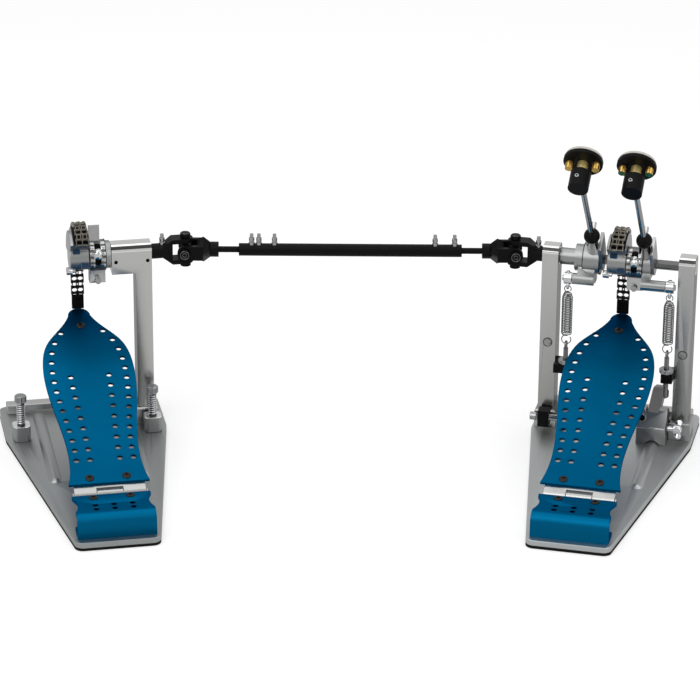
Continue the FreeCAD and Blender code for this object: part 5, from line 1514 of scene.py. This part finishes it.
@dataclass(frozen=True)
class ReturnSpring(PedalPart):
    """A return spring with its swivel, knob and eyebolt, in millimetres."""

    u: float  # Station along the main axle
    pin: tuple[float, float] = (-17.678, -17.678)  # Place of the rocker pin from the axle
    turns: int = 25  # Turns of the coil
    per_turn: int = 24  # Points in each turn
    pitch: float = 2.0  # Rise of a turn
    radius: float = 5.4  # Radius of the coil
    neck: float = 3.2  # Radius at the tapered top
    taper: float = 3.0  # Turns over which it tapers
    wire: float = 0.56  # Radius of the wire
    hook_middle: float = -12.35  # Height of the hook's middle from the pin
    hook_radius: float = 3.6  # Radius of the hook
    coil_top: float = -15.95  # Height of the coil's top from the pin
    loop_radius: float = 5.0  # Radius of the lower loop
    loop_share: float = 0.86  # Share of a full turn that a loop takes
    knob_middle: float = -95.9  # Height of the knob's middle from the pin
    knob_radius: float = 7.2  # Radius of the knob
    bolt_foot: float = -126.8  # Height of the eyebolt's foot from the pin
    thread: tuple[float, float] = (2.6, 1.0)  # Radius and pitch of the eyebolt's thread
    thread_span: tuple[float, float] = (0.6, 17.0)  # Its ends, from the foot
    thread_wire: float = 0.34  # Radius of its ridge
    knurl: Place = (0.9, 0.9, 4.2)  # Size of a ridge of the knob's knurl
    knurls: int = 30  # How many there are
    screw_w: float = 6.0  # Height of the swivel's screw from the pin

    SCREW: ClassVar[Profile] = ((2.1, 0.0), (2.1, 1.6), (1.8, 2.0), (1.0, 2.0), (0.9, 1.2), (0.0, 1.2))

    def _loop(self, middle: float, radius: float, down: bool) -> list[Place]:
        """Return points round an end loop, in the order of the wire.

        Args:
            middle: Height of its middle.
            radius: Its radius.
            down: Whether it hangs under the coil.

        Returns:
            The points.
        """
        sign = 1 if down else -1
        turn = [2 * math.pi * self.loop_share * i / self.per_turn for i in range(self.per_turn + 1)]
        points = [(-radius * math.sin(a), 0.0, middle + sign * radius * math.cos(a)) for a in turn]
        return points if down else list(reversed(points))

    def _coil(self) -> list[Place]:
        """Wind the coil, drawn in at both ends.

        Returns:
            Points from its top to its foot.
        """
        points = []
        for i in range(self.turns * self.per_turn + 1):
            turn = i / self.per_turn
            left = self.turns - turn
            body = self.neck + (self.radius - self.neck) * min(turn / self.taper, 1.0)
            r = body * (1 - math.exp(-2 * math.pi * turn)) * (1 - math.exp(-math.pi * left))
            a = 2 * math.pi * turn
            points.append((r * math.cos(a), r * math.sin(a), self.coil_top - self.pitch * turn))
        return points

    def _wound(self, place: Matrix) -> None:
        """Wind the spring between its swivel and its eyebolt.

        Args:
            place: The frame at the rocker pin.
        """
        swivel, foot = self.name + "_spring_swivel", self.name + "_spring"
        bottom = self.coil_top - self.turns * self.pitch
        hook = self._loop(self.hook_middle, self.hook_radius, down=False)
        loop = self._loop(bottom - self.loop_radius, self.loop_radius, down=True)
        route = hook[:-1] + self._coil() + loop[1:]
        thing = WIRE.run(self.name + "_wound_spring", route, place, SPRING_METAL,
                         {"Radius": self.wire, "Sides": 8}, line=True)
        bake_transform(thing)
        listed(thing, [foot], swivel + " and " + foot)

    def build(self) -> None:
        """Wind the spring, dress what holds it and add the knurl, the screw and the thread."""
        name = self.name
        place = MAIN.axle() @ at(self.u, *self.pin)
        self._wound(place)
        Dress(name + "_spring_swivel", CHROME, Slot.AXLE, 0.6).build()
        Dress(name + "_spring_knob", DULL_CHROME, Slot.SPRING, 0.6).build()
        ridge = {"Part": rounded_block(self.knurl, 0.3, 1), "Count": self.knurls, "Radius": self.knob_radius}
        ROUND.piece(name + "_knob_knurl", ORIGIN, place @ at(0.0, 0.0, self.knob_middle),
                    Fit(name + "_spring_knob", DULL_CHROME, Slot.SPRING), ridge)
        piece(name + "_swivel_screw", lathe(self.SCREW, 16), place @ at(0.0, 0.0, self.screw_w),
              Fit(name + "_spring_swivel", CHROME, Slot.AXLE))
        low, high = (self.bolt_foot + rise for rise in self.thread_span)
        WIRE.piece(name + "_eyebolt_thread", helix(*self.thread, low, high), place,
                   Fit("main_frame", SPRING_METAL, Slot.SPRING), {"Radius": self.thread_wire, "Sides": 5},
                   line=True)


@dataclass(frozen=True)
class Linkage:
    """The telescopic shaft with its universal joints and key bolts, in millimetres."""

    tube_radius: float = 6.8  # Radius of the tube
    tube_half: float = 119.0  # Half the tube's length
    # Places of the tube's key bolts, as shares of half its length.
    bolts: tuple[float, ...] = (-0.885, -0.82, -0.68, 0.76, 0.935)
    joint: float = 176.19  # Distance of a universal joint from the shaft's middle
    head_reach: float = 18.3  # Distance of a pivot head's face from its joint
    boss_u: float = 87.9  # Distance of a yoke's key bolt from its pedal's middle
    boss_radius: float = 8.2  # Radius of a yoke's boss
    bolt_reach: float = 3.6  # How far a key bolt reaches from its middle
    bolt_head: Place = (3.9, 3.9, 4.6)  # Size of its square head
    bolt_head_w: float = 8.8  # Height of the head's middle over the bolt's seat

    BOLT: ClassVar[Profile] = ((0.0, -0.8), (3.3, -0.8), (3.3, 1.6), (2.9, 2.0), (2.2, 2.2), (2.2, 3.2),
                               (3.0, 3.5), (3.0, 6.6), (2.6, 7.0), (0.0, 7.0))
    HEAD: ClassVar[Profile] = ((5.0, -0.3), (5.0, 0.3), (3.4, 0.3), (3.2, 0.1), (2.2, 0.1), (2.0, 0.5),
                               (0.9, 0.5), (0.8, 0.1), (0.0, 0.1))
    RIMS: ClassVar[Profile] = ((4.9, 4.0), (2.4, 1.7))  # Outer and inner radius of each ring on a head

    def _key_bolt(self) -> Mesh:
        """Return a key bolt with its washer, neck and square head."""
        head = rounded_block(self.bolt_head, 0.45, 2)
        return joined((lathe(self.BOLT, 20), Matrix()), (head, at(0.0, 0.0, self.bolt_head_w)))

    def _heads(self, shaft: Matrix) -> None:
        """Add the face of each pivot's head and the rings on it.

        Args:
            shaft: The shaft's frame.
        """
        for name, sign in (("cross_right", 1), ("cross_left", -1)):
            heads, rims = [], []
            for turn in (TO_PLAYER, Matrix()):
                face = turn @ at(0.0, 0.0, self.head_reach)
                heads.append((lathe(self.HEAD, 28), face))
                for outer, inner in self.RIMS:
                    rims.append((lathe([(outer, 0.0), (outer, 0.6), (outer - 0.2, 0.8), (inner + 0.2, 0.8),
                                        (inner, 0.6), (inner, 0.0)], 28), face))
            place = shaft @ at(sign * self.joint, 0.0, 0.0)
            for label, parts, finish in (("_heads", heads, BLACK_METAL), ("_head_rims", rims, AXLE_METAL)):
                piece(name + label, joined(*parts), place, Fit(name, finish, Slot.JOINT))

    def build(self) -> None:
        """Dress the shaft, yokes and crosses and add the key bolts."""
        shaft = shaft_place()
        bolts = Patch(lambda p: p.z > self.tube_radius + 0.02 and abs(p.x) < self.tube_half - 2.0,
                      None, shaft)
        for node, width, patches in (("shaft_tube", 0.7, (bolts,)), ("shaft_left_yoke", 0.9, ()),
                                     ("cross_left", 0.6, ()), ("cross_right", 0.6, ())):
            Dress(node, BLACK_METAL, Slot.JOINT, width, patches).build()
        self._heads(shaft)
        for node, places, sign in (("hub_yoke", MAIN, -1), ("slave_yoke", SLAVE, 1)):
            middle, axle = sign * self.boss_u, places.axle()
            bolt = Patch(lambda p, m=middle: p.z > self.boss_radius + 0.05 and abs(p.x - m) < self.bolt_reach,
                         None, axle)
            Dress(node, BLACK_METAL, Slot.JOINT, 0.9, (bolt,)).build()
            piece(node + "_key_bolt", self._key_bolt(), axle @ at(middle, 0.0, self.boss_radius - 0.2),
                  Fit(BODY_OF[node], DULL_CHROME, Slot.AXLE))
        points = [(share * self.tube_half, 0.0, self.tube_radius) for share in self.bolts]
        scattered("shaft_key_bolts", self._key_bolt(), points, shaft, Fit("shaft", DULL_CHROME, Slot.AXLE))


@dataclass(frozen=True)
class HoopClamp:
    """The hoop clamp with its jaw and wing screw, in millimetres."""

    u: float = 45.0  # Middle of the clamp from the pedal's middle
    half: float = 16.0  # Half its width
    front: float = 248.0  # Its front face
    knee: float = 28.0  # Height where its front begins to slope
    slope: float = 63.4  # Slope of its front in degrees
    wing: tuple[float, float] = (254.0, 27.0)  # Place of the wing screw on its side
    wing_turn: float = -35.0  # Turn of the wing in degrees
    socket: Place = (-10.4, 4.6, 9.2)  # Place of the key socket from the knee
    ridge: float = 1.8  # Thickness of the bright ridge along the knee, a painted highlight

    RIM: ClassVar[Profile] = ((4.3, -0.6), (4.3, 0.5), (3.9, 0.9), (3.3, 0.9), (3.0, 0.5), (2.9, 0.12))
    PIT: ClassVar[Profile] = ((3.1, -0.5), (3.1, 0.3), (2.0, 0.22), (1.9, 0.08), (0.0, 0.08))
    LOBE: ClassVar[Profile] = ((8.6, 3.4), (9.0, 6.4), (9.8, 8.9), (11.4, 10.4), (13.6, 10.8), (15.6, 10.2),
                               (16.6, 8.4), (16.4, 6.0), (15.4, 3.8), (14.8, 1.8))
    HUB: ClassVar[Profile] = ((0.0, -6.0), (3.0, -6.0), (3.0, 7.0), (5.2, 7.3), (5.6, 7.9), (5.6, 14.2),
                              (5.0, 15.2), (3.0, 15.6), (0.0, 15.6))
    WASHER: ClassVar[Profile] = ((3.2, 0.0), (7.4, 0.0), (7.4, 0.7), (6.9, 1.1), (3.2, 1.1))

    def build(self) -> None:
        """Dress the clamp and add its socket, the ridge of painted highlight, the dark washer that also
        paints the shade round the wing's boss, and the wing.
        """
        Dress("clamp_body", CASTING, Slot.CASTING, 1.2).build()
        Dress("clamp_jaw", DARK_CASTING, Slot.CASTING, 0.9).build()
        Dress("clamp_pad", RUBBER, Slot.MAT, 0.7).build()
        place = MAIN.pedal() @ at(self.u, 0.0, 0.0)
        knee = place @ at(0.0, self.front, self.knee)
        spot = knee @ at(*self.socket) @ turned("X", self.slope)
        ridge = rounded_block((2 * self.half - 1.6, self.ridge, self.ridge), 0.7, 3)
        side = place @ at(self.half, *self.wing) @ turned("X", self.wing_turn)
        for name, bm, where, finish, slot in (
                ("clamp_socket_rim", lathe(self.RIM, 28), spot, CASTING, Slot.CASTING),
                ("clamp_socket", lathe(self.PIT, 28), spot, BLACK_PLASTIC, Slot.SOCKET),
                # The bright ridge is a painted highlight along the knee.
                ("clamp_ridge", ridge, knee @ at(0.0, 0.3, 0.0), CAST_HIGHLIGHT, Slot.CASTING),
                # The dark washer also stands for painted shade round the wing's boss.
                ("clamp_wing_washer", lathe(self.WASHER, 28), side @ ALONG_U, DARK_CASTING, Slot.CASTING)):
            piece(name, bm, where, Fit("main_frame", finish, slot))
        piece("clamp_wing", joined((self._blade(), TO_PLAYER), (lathe(self.HUB, 28), ALONG_U)), side,
              Fit("clamp_wing_screw", CHROME, Slot.AXLE), ["clamp_wing_screw"])

    def _blade(self) -> Mesh:
        """Make the two-lobed blade of the wing screw.

        Returns:
            Its mesh.
        """
        blade = slab([*self.LOBE, *((u, -w) for u, w in reversed(self.LOBE))], 4.2)
        edges = [e for e in blade.edges if abs(e.verts[0].co.z - e.verts[1].co.z) < 0.1]
        bmesh.ops.bevel(blade, geom=edges, offset=1.1, segments=3, profile=0.5, affect="EDGES")
        return blade


@dataclass(frozen=True)
class Spurs:
    """The two floor spurs of the second pedal, in millimetres."""

    offset: float = 71.0  # Distance of a spur from the pedal's middle
    v: float = 252.0  # Distance from the heel
    top: float = 60.0  # Height of its head's top
    radius: float = 4.0  # Radius of its shank
    head_radius: float = 6.0  # Radius of its head
    head_height: float = 8.0  # Height of its head
    pitch: float = 2.5  # Pitch of its thread
    thread_foot: float = 27.0  # Height where the thread begins to show
    thread_wire: float = 0.8  # Radius of the thread's ridge
    knurl: Place = (1.0, 1.1, 6.4)  # Size of a ridge of the head's knurl
    knurls: int = 20  # How many there are

    def build(self) -> None:
        """Dress the spurs and add their threads and knurled heads."""
        for name, sign in (("spur_left", -1), ("spur_right", 1)):
            place = SLAVE.pedal() @ at(sign * self.offset, self.v, 0.0)
            neck = self.top - self.head_height
            shank = Patch(lambda p, end=neck - 0.2: p.z < end, DARK_CASTING, place)
            Dress(name, DULL_CHROME, Slot.AXLE, 0.8, (shank,)).build()
            WIRE.piece(name + "_thread", helix(self.radius, self.pitch, self.thread_foot, neck - 0.5), place,
                       Fit(name, CHROME, Slot.AXLE), {"Radius": self.thread_wire, "Sides": 6}, line=True)
            ridge = rounded_block(self.knurl, 0.35, 1)
            ROUND.piece(name + "_knurl", ORIGIN, place @ at(0.0, 0.0, self.top - self.head_height / 2),
                        Fit(name, DULL_CHROME, Slot.AXLE),
                        {"Part": ridge, "Count": self.knurls, "Radius": self.head_radius})


@dataclass(frozen=True)
class Fittings:
    """The remaining cast and turned pieces of the main pedal, in millimetres."""

    # Stations of the hub's seams along the axle, each marked by a black ring of painted shade.
    seams: tuple[tuple[str, float], ...] = (("outer", -38.4), ("inner", -20.6))
    lug_u: float = -29.0  # Station of the hub's lug
    lug_w: float = -19.0  # Height of its middle from the axle
    lug: Place = (9.0, 13.0, 15.0)  # Its size
    lug_bolt: tuple[float, float] = (-6.0, -21.0)  # Place of its bolt from the axle
    pin: Place = (-56.0, -12.0, -12.0)  # Corner that the rocker pin lies beyond

    SEAM: ClassVar[Profile] = ((15.0, 0.0), (16.8, 0.1), (16.8, 0.8), (15.0, 0.9))
    BOLT: ClassVar[Profile] = ((3.4, 0.0), (3.4, 4.6), (3.0, 5.2), (1.9, 5.2), (1.7, 3.6), (0.0, 3.6))

    def build(self) -> None:
        """Dress the slave hub, brackets, eyebolts, clip and drum key, and add painted shade at the hub's
        seams and the hub's lug.
        """
        axle = MAIN.axle()
        pin = Patch(lambda p: all(a < b for a, b in zip(p, self.pin)), CHROME, axle)
        Dress("slave_hub", CASTING, Slot.CASTING, 0.5, (pin,)).build()
        Dress("spring_brackets", BLACK_METAL, Slot.JOINT, 0.7).build()
        Dress("spring_eyebolts", SPRING_METAL, Slot.SPRING, 0.3).build()
        Dress("key_clip", BLACK_PLASTIC, Slot.SOCKET, 0.9).build()
        Dress("drum_key", DULL_CHROME, Slot.AXLE, 0.6).build()
        # Painted shade: thin black rings where the hub's parts meet.
        for label, u in self.seams:
            piece("slave_hub_seam_" + label, lathe(self.SEAM, 40), axle @ at(u, 0.0, 0.0) @ ALONG_U,
                  Fit("slave_turn", BLACK_PLASTIC, Slot.SOCKET))
        piece("slave_hub_lug", rounded_block(self.lug, 1.6, 3), axle @ at(self.lug_u, 0.0, self.lug_w),
              Fit("slave_turn", CASTING, Slot.CASTING))
        piece("slave_lug_bolt", lathe(self.BOLT, 24), axle @ at(self.lug_u, *self.lug_bolt) @ TO_PLAYER,
              Fit("slave_turn", CHROME, Slot.AXLE))


WHITE = (1.0, 1.0, 1.0, 1.0)


@dataclass(frozen=True)
class Studio:
    """The floor, the light and the camera."""

    eye: Place = (0.00028, -3.39585, 1.6302)  # The camera's place in metres
    pitch: float = 23.61  # How far it looks down, in degrees
    roll: float = 0.39  # Its roll in degrees
    lens: float = 183.15  # Its focal length in millimetres
    sensor: float = 36.0  # Width of its sensor in millimetres
    mirrored: float = 0.3  # How much of the white background metal mirrors
    soft: float = 0.42  # Strength of the world's light on the object
    # Name, place in metres, side in metres and power in watts of each lamp.
    lamps: tuple[tuple[str, Place, float, float], ...] = (
        ("key", (-1.4, -1.6, 2.4), 2.6, 36.0), ("fill", (1.8, -1.2, 1.6), 2.4, 16.0),
        ("top", (0.0, 0.8, 2.6), 3.0, 22.0))
    aim: Place = (0.0, 0.0, 0.12)  # What the lamps face
    floor_half: float = 9.0  # Half the side of the floor in metres
    floor_drop: float = 0.0004  # How far it lies under the mats, in metres
    floor_tone: float = 0.6  # How much light it throws back
    floor_glow: float = 0.52  # How much of the background's white it shows

    def _camera(self) -> None:
        """Make the camera at the photograph's angle."""
        data = bpy.data.cameras.new("camera")
        data.lens = self.lens
        data.sensor_width = self.sensor
        data.clip_start = 0.05
        data.clip_end = 50.0
        thing = bpy.data.objects.new("camera", data)
        bpy.context.scene.collection.objects.link(thing)
        thing.matrix_world = at(*self.eye) @ turned("X", 90.0 - self.pitch) @ turned("Z", self.roll)
        bpy.context.scene.camera = thing

    def _seen(self, net: Net) -> Value:
        """Tell rays that look at the background from those that light the object.

        Args:
            net: The tree that the rays are read in.

        Returns:
            1 for rays that look, less for mirrored ones and 0 for light.
        """
        path = net.add("ShaderNodeLightPath")
        seen, mirrored, through = (Value(net, path.outputs[f"Is {kind} Ray"])
                                   for kind in ("Camera", "Glossy", "Transmission"))
        return (seen + mirrored * self.mirrored + through).held()

    def _world(self) -> None:
        """Give the world a white look and a soft light."""
        world = bpy.data.worlds.new("studio")
        world.use_nodes = True
        bpy.context.scene.world = world
        net = Net(world.node_tree)
        strength = self.soft + self._seen(net) * (1.0 - self.soft)
        light = net.add("ShaderNodeBackground", {"Color": WHITE, "Strength": strength})
        net.add("ShaderNodeOutputWorld", {"Surface": light})

    def _floor(self) -> None:
        """Make the pale floor that keeps a soft shadow."""
        bm = bmesh.new()
        bmesh.ops.create_grid(bm, x_segments=8, y_segments=8, size=self.floor_half)
        thing = hold("floor", bm, at(0.0, 0.0, -self.floor_drop))
        paint = bpy.data.materials.new("studio_floor")
        paint.use_nodes = True
        net = Net(paint.node_tree)
        matt = net.add("ShaderNodeBsdfDiffuse", {"Color": (*[self.floor_tone] * 3, 1.0)})
        glow = net.add("ShaderNodeEmission", {"Color": WHITE, "Strength": self._seen(net) * self.floor_glow})
        net.add("ShaderNodeOutputMaterial", {"Surface": net.add("ShaderNodeAddShader", {0: matt, 1: glow})})
        thing.data.materials.append(paint)

    def _lamps(self) -> None:
        """Hang the soft square lamps, which face the object."""
        for name, place, size, power in self.lamps:
            data = bpy.data.lights.new(name, "AREA")
            data.size = size
            data.energy = power
            thing = bpy.data.objects.new(name, data)
            bpy.context.scene.collection.objects.link(thing)
            away = (Vector(self.aim) - Vector(place)).to_track_quat("-Z", "Y")
            thing.matrix_world = at(*place) @ away.to_matrix().to_4x4()

    def build(self) -> None:
        """Set the view, the light, the floor and the camera."""
        bpy.context.scene.view_settings.view_transform = "Standard"
        self._world()
        self._floor()
        self._lamps()
        self._camera()


def main() -> None:
    """Build every sub-assembly in order, then the studio."""
    logging.basicConfig(level=logging.INFO, format="%(name)s: %(message)s")
    for side in Side:
        for assembly in (Base(side), Footboard(side), ChainDrive(side)):
            assembly.build()
    for assembly in (Posts(), ClampHub(Side.MAIN, "main_hub"), ClampHub(Side.SLAVE, "slave_drive_hub"),
                     Beater(Side.MAIN, 28.2), Beater(Side.SLAVE, -27.5), ReturnSpring(Side.MAIN, 57.0),
                     ReturnSpring(Side.SLAVE, -52.0), Linkage(), HoopClamp(), Spurs(), Fittings(), Studio()):
        assembly.build()


if __name__ == "__main__":
    main()
